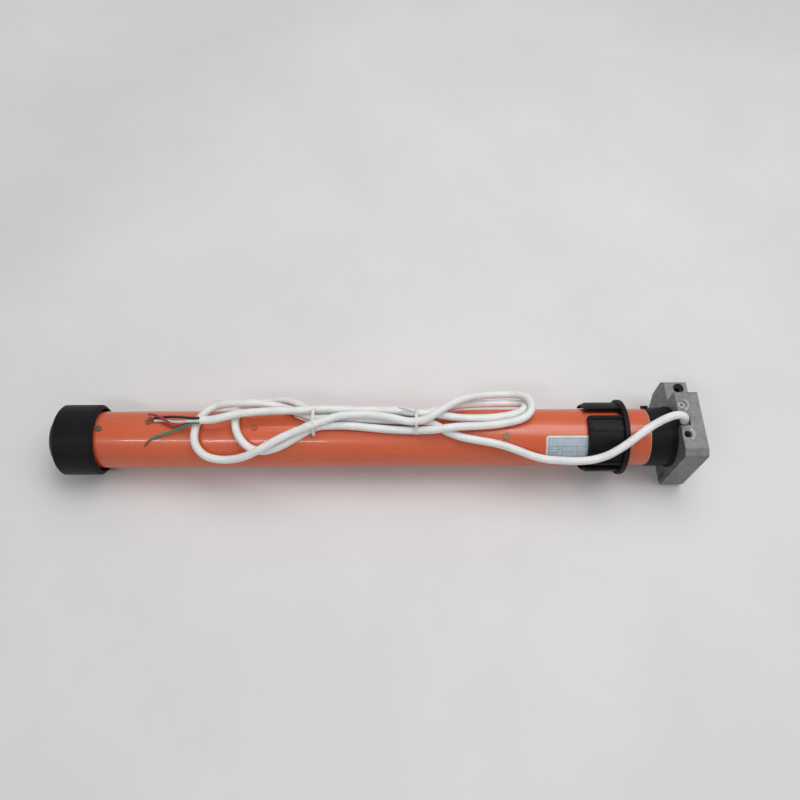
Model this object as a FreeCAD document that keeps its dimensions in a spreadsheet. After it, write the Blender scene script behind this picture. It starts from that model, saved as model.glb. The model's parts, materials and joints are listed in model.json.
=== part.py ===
"""Tubular awning motor with a hand-crank head, a crown adapter, a drive wheel and its cable.

Frame: millimetres, origin on the tube's axis at the head's outer mounting face,
+X from the drive wheel to the head, +Y away from the viewer, +Z up.
Angles are turned about +X, from +Y towards +Z.
"""

import FreeCAD, Part
import math
import os

import Sketcher
from FreeCAD import Placement, Rotation, Vector

doc = FreeCAD.newDocument("AwningMotor")
sheet = doc.addObject("Spreadsheet::Sheet", "Sizes")

# Driving dimensions: alias, value, what it is
DIMENSIONS = [
    ("tube_diameter", 59, "outside diameter of the motor tube"),
    ("tube_wall", 1.5, "wall of the motor tube"),
    ("tube_length", 572, "length of the motor tube"),
    ("neck_length", 26, "from the tube's rim to the head"),
    ("fit_gap", 0.05, "radial gap of a seated fit"),
    ("run_gap", 0.3, "gap between pieces that turn or slide on each other"),
    ("head_depth", 23.3, "head along the tube's axis"),
    ("head_top", 39, "axis to the head's top face"),
    ("head_bottom", 47, "axis to the head's bottom face"),
    ("head_near", 37.8, "axis to the head's near face"),
    ("head_far", 33, "axis to the far edge of the head's top face"),
    ("lug_top", 18.5, "axis to the top of the crank lug"),
    ("lug_reach", 59.5, "axis to the far face of the crank lug"),
    ("lug_low", 20, "axis down to where the lug's far face ends"),
    ("cast_round", 2.5, "rounding of the head's long corners"),
    ("cover_thickness", 3, "head cover"),
    ("cover_rim", 2.5, "rim of the casting around the cover"),
    ("back_wall", 3.8, "casting wall behind the gears"),
    ("mount_spacing", 48, "side of the square of mounting holes"),
    ("mount_hole", 5, "tapping diameter of the mounting holes"),
    ("mount_depth", 14, "depth of the mounting holes"),
    ("override_module", 1, "module of the crank gears"),
    ("override_width", 9, "face width of the crank gears"),
    ("worm_radius", 4.5, "pitch radius of the crank worm"),
    ("worm_length", 17, "threaded length of the crank worm"),
    ("crank_hex", 6, "hexagon socket for the hand crank"),
    ("hollow_shaft", 12, "radius of the hollow shaft"),
    ("hollow_bore", 9, "bore radius of the hollow shaft"),
    ("journal_radius", 26, "journal that the limit ring turns on"),
    ("journal_bore", 24, "bore radius of the journal"),
    ("spigot_length", 27, "spigot inside the tube"),
    ("ring_radius", 30.5, "outside radius of the limit drive ring"),
    ("limit_module", 0.8, "module of the limit gears"),
    ("spindle_radius", 1.4, "limit spindle"),
    ("limit_length", 73, "limit switch unit"),
    ("key_width", 8, "key on the limit drive ring"),
    ("key_length", 1.2, "how far the key reaches over the tube"),
    ("adjuster_radius", 3.4, "limit adjusters"),
    ("adjuster_hex", 4, "hexagon socket of the limit adjusters"),
    ("capacitor_radius", 20, "motor capacitor"),
    ("capacitor_length", 62, "motor capacitor"),
    ("shield_length", 7, "bearing shields"),
    ("winding_length", 13, "each end of the windings"),
    ("stator_length", 160, "stator stack"),
    ("stator_bore", 16, "bore radius of the stator"),
    ("air_gap", 0.4, "gap between stator and rotor"),
    ("shaft_radius", 5, "rotor shaft"),
    ("bearing_radius", 11, "outside radius of the ball bearings"),
    ("bearing_width", 6, "ball bearings"),
    ("brake_length", 35, "brake housing"),
    ("brake_stroke", 0.5, "travel of the brake armature"),
    ("gear_module", 0.8, "module of the planetary gears"),
    ("planet_bore", 2.5, "radius of the planet pins"),
    ("carrier_width", 6, "planet carriers"),
    ("stage_gap", 2, "gap between gearbox stages"),
    ("cap_length", 31, "gearbox end cap"),
    ("cap_journal", 24.7, "end cap journal in the front bush"),
    ("front_bush_length", 16, "front bush in the tube's end"),
    ("output_radius", 8, "output shaft"),
    ("output_flat", 6.5, "axis to each flat of the output shaft"),
    ("output_reach", 34.5, "output shaft beyond the tube"),
    ("wheel_radius", 36.5, "drive wheel"),
    ("wheel_wall", 4, "rim of the drive wheel"),
    ("wheel_length", 41.5, "drive wheel without its collar"),
    ("wheel_overlap", 9.3, "how far the wheel's rim covers the tube"),
    ("collar_radius", 27, "collar on the wheel's outer face"),
    ("collar_length", 6, "collar on the wheel's outer face"),
    ("wheel_chamfer", 2, "chamfer of the wheel's outer edge"),
    ("wheel_taper", 3.5, "taper of the wheel's rim over the tube"),
    ("crown_place", 24, "from the tube's rim to the crown's flange"),
    ("crown_flange", 39, "radius of the crown's flange"),
    ("flange_width", 5.5, "crown's flange"),
    ("crown_radius", 36.1, "radius of the crown's blocks and fingers"),
    ("crown_length", 41.5, "crown with its flange"),
    ("crown_wall", 3.4, "thickness of the crown's fingers"),
    ("screw_head", 3.2, "radius of the tube screws' heads"),
    ("cable_diameter", 8, "cable"),
    ("wire_diameter", 2.7, "each core of the cable"),
    ("tie_thickness", 0.6, "ties around the cable"),
    ("tie_width", 3, "ties around the cable"),
]

for row, (alias, value, note) in enumerate(DIMENSIONS, start=1):
    sheet.set(f"A{row}", note)
    sheet.set(f"B{row}", str(value))
    sheet.setAlias(f"B{row}", alias)
doc.recompute()


class Size:
    """A length as a number and as the formula over the sheet's cells that gives it."""

    def __init__(self, value, text):
        self.value = value
        self.text = text

    def __add__(self, other):
        other = as_size(other)
        return Size(self.value + other.value, f"({self.text} + {other.text})")

    def __sub__(self, other):
        other = as_size(other)
        return Size(self.value - other.value, f"({self.text} - {other.text})")

    def __mul__(self, factor):
        return Size(self.value * factor, f"({self.text} * {factor})")

    def __truediv__(self, divisor):
        return Size(self.value / divisor, f"({self.text} / {divisor})")

    def __neg__(self):
        return Size(-self.value, f"(0 - {self.text})")

    __radd__ = __add__
    __rmul__ = __mul__


def as_size(number):
    return number if isinstance(number, Size) else Size(float(number), repr(float(number)))


def cell(alias):
    return Size(float(sheet.get(alias)), f"Sizes.{alias}")


# Radii and gaps that many pieces share
fit = cell("fit_gap")
gap = cell("run_gap")
tube_radius = cell("tube_diameter") / 2
tube_bore = tube_radius - cell("tube_wall")
seat_radius = tube_bore - fit
core_radius = tube_bore - gap - 0.1
hollow_shaft = cell("hollow_shaft")
shaft_radius = cell("shaft_radius")
output_radius = cell("output_radius")
cover_thickness = cell("cover_thickness")

# Stations along the axis, from the head to the drive wheel
head_back = -cell("head_depth")
cavity_back = head_back + cell("back_wall")
tube_right = head_back - cell("neck_length")
tube_left = tube_right - cell("tube_length")
spigot_left = tube_right - cell("spigot_length")
limit_right = spigot_left - 1
limit_left = limit_right - cell("limit_length")
holder_right = limit_left - 6
holder_left = holder_right - cell("capacitor_length") - 12
rear_shield_left = holder_left - cell("shield_length")
stator_right = rear_shield_left - cell("winding_length")
stator_left = stator_right - cell("stator_length")
front_shield_right = stator_left - cell("winding_length")
front_shield_left = front_shield_right - cell("shield_length")
brake_left = front_shield_left - cell("brake_length")
cap_left = tube_left
cap_right = cap_left + cell("cap_length")
wheel_right = tube_left + cell("wheel_overlap")
wheel_left = wheel_right - cell("wheel_length")
collar_left = wheel_left - cell("collar_length")

SIDES_OF_HEX = 6
FULL_TURN = 360

nodes = {}


def keep(label, item):
    """Names a sub-part and keeps it for the export."""
    item.Label = label
    nodes[label] = item
    return item


def origin_feature(body, role):
    for feature in body.Origin.OriginFeatures:
        if feature.Role == role:
            return feature
    raise ValueError(role)


def new_sketch(body, role, offset=None):
    """A sketch on one of the body's own origin planes, moved along the plane's normal."""
    sketch = body.newObject("Sketcher::SketchObject", body.Name + "Sketch")
    sketch.AttachmentSupport = [(origin_feature(body, role), "")]
    sketch.MapMode = "FlatFace"
    if offset is not None:
        sketch.AttachmentOffset = Placement(Vector(0, 0, offset.value), Rotation())
        sketch.setExpression("AttachmentOffset.Base.z", offset.text)
    return sketch


def bind(sketch, kind, items, size):
    """A sketch dimension bound to the sheet."""
    index = sketch.addConstraint(Sketcher.Constraint(kind, *items, size.value))
    sketch.setExpression(f"Constraints[{index}]", size.text)


def draw_outline(sketch, corners):
    """A closed outline whose every corner is dimensioned from the sketch's origin."""
    corners = [(as_size(across), as_size(up)) for across, up in corners]
    first = sketch.GeometryCount
    places = [Vector(across.value, up.value, 0) for across, up in corners]
    count = len(corners)
    for index in range(count):
        line = Part.LineSegment(places[index], places[(index + 1) % count])
        sketch.addGeometry(line, False)
    for index in range(count):
        following = first + (index + 1) % count
        sketch.addConstraint(Sketcher.Constraint("Coincident", first + index, 2, following, 1))
    for index, (across, up) in enumerate(corners):
        bind(sketch, "DistanceX", (-1, 1, first + index, 1), across)
        bind(sketch, "DistanceY", (-1, 1, first + index, 1), up)


def draw_circle(sketch, across, up, radius):
    across, up, radius = as_size(across), as_size(up), as_size(radius)
    centre = Vector(across.value, up.value, 0)
    index = sketch.addGeometry(Part.Circle(centre, Vector(0, 0, 1), radius.value), False)
    bind(sketch, "Radius", (index,), radius)
    bind(sketch, "DistanceX", (-1, 1, index, 3), across)
    bind(sketch, "DistanceY", (-1, 1, index, 3), up)


def rectangle(low_across, low_up, high_across, high_up):
    return [
        (low_across, low_up),
        (high_across, low_up),
        (high_across, high_up),
        (low_across, high_up),
    ]


def new_body(label):
    return keep(label, doc.addObject("PartDesign::Body", label))


def revolve(body, corners):
    """A turned form: the outline gives places along X and radii."""
    sketch = new_sketch(body, "XZ_Plane")
    draw_outline(sketch, corners)
    turned = body.newObject("PartDesign::Revolution", body.Name + "Turned")
    turned.Profile = sketch
    turned.ReferenceAxis = (sketch, ["H_Axis"])
    turned.Angle = FULL_TURN
    doc.recompute()
    return turned


def turned_piece(label, corners):
    body = new_body(label)
    revolve(body, corners)
    return body


def sleeve(label, left, right, bore, outside):
    return turned_piece(label, rectangle(left, bore, right, outside))


def pad(body, sketch, length, backwards=False):
    feature = body.newObject("PartDesign::Pad", body.Name + "Pad")
    feature.Profile = sketch
    feature.Length = length.value
    feature.setExpression("Length", length.text)
    feature.Reversed = backwards
    doc.recompute()
    return feature


def pocket(body, sketch, depth, forwards=False):
    """A pocket cuts against the sketch's normal, or along it when forwards."""
    before = body.Shape.Volume
    feature = body.newObject("PartDesign::Pocket", body.Name + "Pocket")
    feature.Profile = sketch
    feature.Length = depth.value
    feature.setExpression("Length", depth.text)
    feature.Reversed = forwards
    doc.recompute()
    if body.Shape.Volume >= before:
        raise ValueError(f"a pocket of {body.Label} cuts nothing")
    return feature


def polar_copies(body, feature, count):
    """Repeats a feature around the X axis."""
    pattern = body.newObject("PartDesign::PolarPattern", body.Name + "Pattern")
    pattern.Originals = [feature]
    pattern.Axis = (origin_feature(body, "X_Axis"), [""])
    pattern.Angle = FULL_TURN
    pattern.Occurrences = count
    body.Tip = pattern
    doc.recompute()
    return pattern


def drill_ring(body, face, depth, circle_radius, hole_radius, count, angle=0, forwards=False):
    """Holes along X, spaced evenly around the axis."""
    sketch = new_sketch(body, "YZ_Plane", face)
    across = circle_radius * math.cos(math.radians(angle))
    up = circle_radius * math.sin(math.radians(angle))
    draw_circle(sketch, across, up, hole_radius)
    hole = pocket(body, sketch, depth, forwards)
    if count > 1:
        polar_copies(body, hole, count)


def solid(label, shape):
    """A sub-part that is neither turned nor padded."""
    feature = doc.addObject("Part::Feature", label)
    feature.Shape = shape
    return keep(label, feature)


def around(angle, radius, along=0.0):
    """A point at an angle and radius around the tube's axis."""
    turn = math.radians(angle)
    return Vector(along, radius * math.cos(turn), radius * math.sin(turn))


def bar(left, right, radius, centre=Vector()):
    """A round bar along X."""
    return Part.makeCylinder(radius, right - left, centre + Vector(left, 0, 0), Vector(1, 0, 0))


def sector(left, right, inner, outer, start, stop):
    """A piece of a ring, between two angles."""
    width = math.radians(stop - start)
    face = Part.Face(
        Part.makePolygon(
            [
                around(start, inner, left),
                around(start, outer, left),
                around(start, outer, right),
                around(start, inner, right),
                around(start, inner, left),
            ]
        )
    )
    return face.revolve(Vector(), Vector(1, 0, 0), math.degrees(width))


def screw(head_radius, head_height, shank_radius, shank_length):
    """A pan-head screw along +Z, its head's underside at Z 0, with a hexagon socket."""
    head = Part.makeCylinder(head_radius, head_height)
    shank = Part.makeCylinder(shank_radius, shank_length, Vector(0, 0, -shank_length))
    socket = hexagon(head_radius * 0.9, head_height)
    socket.translate(Vector(0, 0, head_height / 2))
    return head.fuse(shank).cut(socket).removeSplitter()


def hexagon(across_flats, height):
    corner = across_flats / math.sqrt(3)
    ring = [
        Vector(
            corner * math.cos(math.radians(FULL_TURN * side / SIDES_OF_HEX)),
            corner * math.sin(math.radians(FULL_TURN * side / SIDES_OF_HEX)),
            0,
        )
        for side in range(SIDES_OF_HEX + 1)
    ]
    return Part.Face(Part.makePolygon(ring)).extrude(Vector(0, 0, height))


def placed(shape, point, direction):
    """A copy of a shape whose +Z is turned to a direction and set at a point."""
    copy = shape.copy()
    copy.Placement = Placement(point, Rotation(Vector(0, 0, 1), direction))
    return copy


# Gear teeth

ADDENDUM = 0.75
DEDENDUM = 1.2
PRESSURE_TANGENT = math.tan(math.radians(20))
BACKLASH = 0.16


def gear_outline(teeth, module, phase, internal=False):
    """Corners of a gear with straight flanks, a tooth centred at the phase, or a gap if internal."""
    pitch = module * teeth / 2
    side = -1 if internal else 1
    tip = pitch + side * ADDENDUM * module
    root = pitch - side * DEDENDUM * module
    thickness = module * (math.pi / 2 - BACKLASH)
    centre_shift = 0.5 if internal else 0.0
    corners = []
    for tooth in range(teeth):
        centre = phase + FULL_TURN * (tooth + centre_shift) / teeth
        for radius, flank in ((root, -1), (tip, -1), (tip, 1), (root, 1)):
            width = thickness - 2 * side * (radius - pitch) * PRESSURE_TANGENT
            corners.append(around(centre + flank * math.degrees(width / 2 / radius), radius))
    return corners + corners[:1]


def gear(teeth, module, phase, left, right, centre=Vector()):
    """A spur gear along X."""
    corners = [corner + Vector(left, 0, 0) + centre for corner in gear_outline(teeth, module, phase)]
    return Part.Face(Part.makePolygon(corners)).extrude(Vector(right - left, 0, 0))


def internal_teeth(teeth, module, phase, left, right):
    """The space inside an internal gear, its teeth pointing inwards."""
    corners = gear_outline(teeth, module, phase, internal=True)
    corners = [corner + Vector(left, 0, 0) for corner in corners]
    return Part.Face(Part.makePolygon(corners)).extrude(Vector(right - left, 0, 0))


# Motor tube and its screws

motor_tube = sleeve("motor_tube", tube_left, tube_right, tube_bore, tube_radius)

# Screws in view: the place from the left rim as a share of the tube's length, and the angle
BUSH_SCREW_ANGLE = 91.4
TUBE_SCREWS = [(0.111, 73.9), (0.298, 91), (0.743, 111.5)]
SPIGOT_SCREW_ANGLES = [235, 305]
SCREW_SHANK = 1.6
SCREW_HEIGHT = 1.4


def tube_screw_places():
    """Places along X and angles; the spigot's screws sit between the key's end and the crown."""
    spigot_screw = -(cell("key_length") + cell("crown_place")) / 2 + tube_right
    bush_screw = tube_left + cell("front_bush_length") * 0.8
    shown = [((tube_left + cell("tube_length") * share).value, angle) for share, angle in TUBE_SCREWS]
    hidden = [(spigot_screw.value, angle) for angle in SPIGOT_SCREW_ANGLES]
    return [(bush_screw.value, BUSH_SCREW_ANGLE)] + shown + hidden


for place, angle in tube_screw_places():
    hole_sketch = new_sketch(motor_tube, "XY_Plane")
    hole_sketch.AttachmentOffset = Placement(
        Vector(0, 0, 0), Rotation(Vector(1, 0, 0), angle - 90)
    )
    draw_circle(hole_sketch, place, 0, SCREW_SHANK + 0.1)
    pocket(motor_tube, hole_sketch, tube_radius + 1, forwards=True)

tube_screw = screw(cell("screw_head").value, SCREW_HEIGHT, SCREW_SHANK, cell("tube_wall").value)
solid(
    "tube_screws",
    Part.makeCompound(
        [
            placed(tube_screw, around(angle, tube_radius.value, place), around(angle, 1.0))
            for place, angle in tube_screw_places()
        ]
    ),
)

# Head casting

CAVITY_GAP = 1.5
override_module = cell("override_module")
WHEEL_TEETH = 50
IDLER_TEETH = 18
idler_place = override_module * ((WHEEL_TEETH + IDLER_TEETH) / 2)
idler_pitch = override_module * (IDLER_TEETH / 2)
worm_place = idler_place + idler_pitch + cell("worm_radius")
wheel_tip = override_module * (WHEEL_TEETH / 2 + ADDENDUM)
idler_tip = override_module * (IDLER_TEETH / 2 + ADDENDUM)
worm_tip = cell("worm_radius") + override_module * ADDENDUM
worm_bore = worm_tip + gap
cavity_radius = wheel_tip + CAVITY_GAP + 2
worm_x = head_back * 0.4
gear_right = worm_x + cell("override_width") / 2
gear_left = worm_x - cell("override_width") / 2
spigot_bore = cell("journal_radius") + fit
worm_floor = -(cell("worm_length") / 2 + 8)


def head_outline(inset):
    """Corners of the head seen along the tube's axis, drawn in by an inset."""
    near = -(cell("head_near") - inset)
    far = cell("head_far") - inset
    top = cell("head_top") - inset
    bottom = -(cell("head_bottom") - inset)
    lug = cell("lug_top") - inset
    reach = cell("lug_reach") - inset
    return [
        (near + 7.8, top),
        (near, top - 3.8),
        (near, bottom + 5),
        (near + 5, bottom),
        (far + 7, bottom),
        (reach - 7.5, -cell("lug_low") - 14),
        (reach, -cell("lug_low") + 3),
        (reach, lug - 9.5),
        (reach - 5, lug),
        (far, lug),
        (far, top),
    ]


head_casting = new_body("head_casting")
head_sketch = new_sketch(head_casting, "YZ_Plane", head_back)
draw_outline(head_sketch, head_outline(0))
head_pad = pad(head_casting, head_sketch, cell("head_depth"))


def long_corners(shape):
    """Names of the edges that run along X over the whole depth."""
    names = []
    for index, edge in enumerate(shape.Edges, start=1):
        box = edge.BoundBox
        if box.XLength > 1 and box.YLength < 0.01 and box.ZLength < 0.01:
            names.append(f"Edge{index}")
    return names


rounding = head_casting.newObject("PartDesign::Fillet", "HeadRounding")
rounding.Base = (head_pad, long_corners(head_pad.Shape))
rounding.Radius = cell("cast_round").value
rounding.setExpression("Radius", cell("cast_round").text)
doc.recompute()

recess_sketch = new_sketch(head_casting, "YZ_Plane", as_size(0))
draw_outline(recess_sketch, head_outline(cell("cover_rim")))
half_spacing = cell("mount_spacing") / 2
mount_radius = cell("mount_hole") / 2
MOUNT_CORNERS = [(1, 1), (-1, 1), (-1, -1), (1, -1)]
BOSS_WALL = 3
for across, up in MOUNT_CORNERS:
    draw_circle(recess_sketch, half_spacing * across, half_spacing * up, mount_radius + BOSS_WALL)
pocket(head_casting, recess_sketch, cover_thickness)
for across, radius, depth in (
    (as_size(0), cavity_radius, -cavity_back),
    (idler_place, idler_tip + 0.6, -gear_left + 0.5),
):
    cavity_sketch = new_sketch(head_casting, "YZ_Plane", as_size(0))
    draw_circle(cavity_sketch, across, 0, radius)
    pocket(head_casting, cavity_sketch, depth)
drill_ring(head_casting, as_size(0), cell("head_depth") + 1, as_size(0), spigot_bore, 1)

worm_sketch = new_sketch(head_casting, "XY_Plane", cell("lug_top") + 1)
draw_circle(worm_sketch, worm_x, worm_place, worm_bore)
pocket(head_casting, worm_sketch, cell("lug_top") + 1 - worm_floor)

notch_width = cell("cable_diameter") + 2.5
notch_depth = as_size(9)
notch_sketch = new_sketch(head_casting, "XY_Plane", cell("head_top") + 1)
draw_outline(
    notch_sketch,
    rectangle(head_back - 1, -notch_width / 2, head_back + notch_width, notch_width / 2),
)
pocket(head_casting, notch_sketch, notch_depth + 1)

# Adjusters in the top face: distance along Y from the axis, and how deep each one sits
ADJUSTERS = {"limit_screw_up": (-15.0, 5.5), "limit_screw_down": (18.0, 1.2)}
adjuster_radius = cell("adjuster_radius")
adjuster_x = head_back + 5.3
adjuster_depth = as_size(11)
for across, recess in ADJUSTERS.values():
    adjuster_sketch = new_sketch(head_casting, "XY_Plane", cell("head_top") + 1)
    draw_circle(adjuster_sketch, adjuster_x, across, adjuster_radius + gap)
    pocket(head_casting, adjuster_sketch, adjuster_depth + 1)

slot_sketch = new_sketch(head_casting, "YZ_Plane", head_back)
draw_outline(
    slot_sketch,
    rectangle(
        -cell("head_near") + 6,
        -cell("head_bottom") + 5,
        -cell("head_near") + 10,
        -cell("head_bottom") + 21,
    ),
)
pocket(head_casting, slot_sketch, as_size(2.6), forwards=True)

mount_sketch = new_sketch(head_casting, "YZ_Plane", as_size(0))
for across, up in MOUNT_CORNERS:
    draw_circle(mount_sketch, half_spacing * across, half_spacing * up, mount_radius)
pocket(head_casting, mount_sketch, cell("mount_depth"))

COVER_SCREWS = [(0, 33.3), (0, -33.3), (-32.2, 0), (40, -26)]
COVER_SHANK = 1.5
COVER_SHANK_LENGTH = 8
tap_sketch = new_sketch(head_casting, "YZ_Plane", as_size(0))
for across, up in COVER_SCREWS:
    draw_circle(tap_sketch, across, up, COVER_SHANK + 0.05)
pocket(head_casting, tap_sketch, as_size(COVER_SHANK_LENGTH + 2))

# Head cover with its boss for the hollow shaft

head_cover = new_body("head_cover")
cover_sketch = new_sketch(head_cover, "YZ_Plane", -cover_thickness)
draw_outline(cover_sketch, head_outline(cell("cover_rim") + 0.1))
pad(head_cover, cover_sketch, cover_thickness)
boss_sketch = new_sketch(head_cover, "YZ_Plane", gear_right + gap)
draw_circle(boss_sketch, 0, 0, hollow_shaft + gap + 3)
pad(head_cover, boss_sketch, -(gear_right + gap) - 0.5)
drill_ring(head_cover, as_size(-1.5), as_size(8), as_size(0), hollow_shaft + gap, 1)
cover_holes = new_sketch(head_cover, "YZ_Plane", as_size(0))
for across, up in MOUNT_CORNERS:
    draw_circle(cover_holes, half_spacing * across, half_spacing * up, mount_radius + BOSS_WALL + 0.1)
for across, up in COVER_SCREWS:
    draw_circle(cover_holes, across, up, COVER_SHANK + 0.3)
pocket(head_cover, cover_holes, cover_thickness)
sink_sketch = new_sketch(head_cover, "YZ_Plane", as_size(0))
for across, up in COVER_SCREWS:
    draw_circle(sink_sketch, across, up, 2.9)
pocket(head_cover, sink_sketch, as_size(1.6))

cover_screw = screw(2.8, 1.6, COVER_SHANK, COVER_SHANK_LENGTH)
solid(
    "head_cover_screws",
    Part.makeCompound(
        [
            placed(cover_screw, Vector(-1.6, across, up), Vector(1, 0, 0))
            for across, up in COVER_SCREWS
        ]
    ),
)

# Spigot that joins the head and the tube

LIMIT_RING_TEETH = 68
PINION_TEETH = 12
limit_module = cell("limit_module").value
spindle_centre = limit_module * (LIMIT_RING_TEETH - PINION_TEETH) / 2
SPINDLE_STEP = {"up": 22, "down": 13}
spindle_angle = {
    side: FULL_TURN * step / LIMIT_RING_TEETH for side, step in SPINDLE_STEP.items()
}
pinion_right = head_back - 2
pinion_left = pinion_right - 7
spindle_radius = cell("spindle_radius")
web_right = cavity_back + 1.5

head_spigot = turned_piece(
    "head_spigot",
    [
        (spigot_left, cell("journal_bore")),
        (web_right - 3, cell("journal_bore")),
        (web_right - 3, hollow_shaft + gap),
        (web_right, hollow_shaft + gap),
        (web_right, cavity_radius - 0.5),
        (cavity_back, cavity_radius - 0.5),
        (cavity_back, cell("journal_radius")),
        (tube_right, cell("journal_radius")),
        (tube_right, seat_radius),
        (spigot_left, seat_radius),
    ],
)
for side in SPINDLE_STEP:
    drill_ring(
        head_spigot,
        web_right - 0.5,
        as_size(4),
        as_size(spindle_centre),
        spindle_radius + 0.1,
        1,
        spindle_angle[side],
    )
    window_sketch = new_sketch(head_spigot, "YZ_Plane", pinion_right + 1)
    pinion_at = around(spindle_angle[side], spindle_centre)
    draw_circle(window_sketch, pinion_at.y, pinion_at.z, PINION_TEETH * limit_module / 2 + 1.4)
    pocket(head_spigot, window_sketch, pinion_right - pinion_left + 2)

# Crank worm, idler gear and override wheel

worm_pitch = math.pi * override_module.value
worm_radius = cell("worm_radius").value
worm_root = worm_radius - DEDENDUM * override_module.value
worm_length = cell("worm_length").value
WORM_BACKLASH = 0.45
CRANK_RECESS = 5


def crank_worm():
    """Shaft with a single-start thread, facing the idler at mid-height, and a hexagon socket on top."""
    core = Part.makeCylinder(worm_root, worm_length + 9, Vector(0, 0, -worm_length / 2 - 7))
    top = cell("lug_top").value - CRANK_RECESS
    shoulder = worm_length / 2
    head = Part.makeCylinder(worm_tip.value, top - shoulder, Vector(0, 0, shoulder))
    socket = hexagon(cell("crank_hex").value, top - shoulder)
    socket.translate(Vector(0, 0, shoulder))
    turns = math.floor(worm_length / worm_pitch) - 1
    rise = turns * worm_pitch
    spine = Part.makeHelix(worm_pitch, rise, worm_radius)
    thread_width = worm_pitch / 2 - WORM_BACKLASH
    inner = worm_root - 0.2
    base = thread_width + 2 * (worm_radius - inner) * PRESSURE_TANGENT
    crest = thread_width - 2 * (worm_tip.value - worm_radius) * PRESSURE_TANGENT
    profile = Part.makePolygon(
        [
            Vector(inner, 0, -base / 2),
            Vector(worm_tip.value, 0, -crest / 2),
            Vector(worm_tip.value, 0, crest / 2),
            Vector(inner, 0, base / 2),
            Vector(inner, 0, -base / 2),
        ]
    )
    thread = Part.Wire(spine.Edges).makePipeShell([profile], True, True)
    thread.translate(Vector(0, 0, -rise / 2))
    towards_idler = 90 if turns % 2 else 270
    thread.rotate(Vector(), Vector(0, 0, 1), towards_idler)
    worm = core.fuse(head).cut(socket).fuse(thread)
    worm.translate(Vector(worm_x.value, worm_place.value, 0))
    return worm.removeSplitter()


solid("crank_worm", crank_worm())

idler_centre = Vector(0, idler_place.value, 0)
idler_half_tooth = FULL_TURN / IDLER_TEETH / 2
idler = gear(
    IDLER_TEETH,
    override_module.value,
    idler_half_tooth,
    gear_left.value,
    gear_right.value,
    idler_centre,
)
IDLER_PIN = 2.5
idler_bore = bar(gear_left.value - 1, gear_right.value + 1, IDLER_PIN + fit.value, idler_centre)
solid("override_idler_gear", idler.cut(idler_bore))
idler_pin = bar(gear_left.value - 0.5, -cover_thickness.value, IDLER_PIN, idler_centre)
solid("idler_pin", idler_pin)

override_gear = gear(
    WHEEL_TEETH, override_module.value, 0, gear_left.value, gear_right.value
)
hollow_right = -1.5 - 1.2
hollow = bar(holder_right.value, hollow_right, hollow_shaft.value)
hollow_bore = bar(holder_right.value - 1, 0, cell("hollow_bore").value)
solid("override_wheel", override_gear.fuse(hollow).cut(hollow_bore))

# Limit adjusters in the head's top face


ADJUSTER_SOCKET = 4
ADJUSTER_LENGTH = 5.2


def limit_screw(across, recess):
    """A round adjuster with a hexagon socket, some way down its hole."""
    top = cell("head_top").value - recess
    length = ADJUSTER_LENGTH
    stud = Part.makeCylinder(adjuster_radius.value, length, Vector(0, 0, top - length))
    socket = hexagon(cell("adjuster_hex").value, ADJUSTER_SOCKET)
    socket.translate(Vector(0, 0, top - ADJUSTER_SOCKET))
    stud = stud.cut(socket)
    stud.translate(Vector(adjuster_x.value, across, 0))
    return stud


for label, (across, recess) in ADJUSTERS.items():
    solid(label, limit_screw(across, recess))

# Limit drive ring with its inner teeth and key

KEY_ANGLE = 27
RING_BAND = 4
ring_left = tube_right.value + gap.value
ring_right = head_back.value - gap.value
ring_radius = cell("ring_radius").value
key_start = KEY_ANGLE - math.degrees(cell("key_width").value / 2 / ring_radius)
key_stop = KEY_ANGLE + math.degrees(cell("key_width").value / 2 / ring_radius)
ring_shape = bar(ring_left, ring_right, ring_radius)
ring_shape = ring_shape.fuse(bar(ring_right - RING_BAND, ring_right, ring_radius + 1))
key = sector(
    ring_left - cell("key_length").value,
    ring_left + 4,
    tube_radius.value + gap.value + 0.1,
    tube_radius.value + 3,
    key_start,
    key_stop,
)
ring_shape = ring_shape.fuse(key)
bearing_end = pinion_left.value - 1
ring_shape = ring_shape.cut(bar(ring_left - 1, bearing_end, cell("journal_radius").value + gap.value))
ring_shape = ring_shape.cut(
    internal_teeth(LIMIT_RING_TEETH, limit_module, 0, bearing_end - 0.01, ring_right + 1)
)
solid("limit_drive_ring", ring_shape)

# Limit switch unit: frame, spindles, nuts and switches

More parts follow.
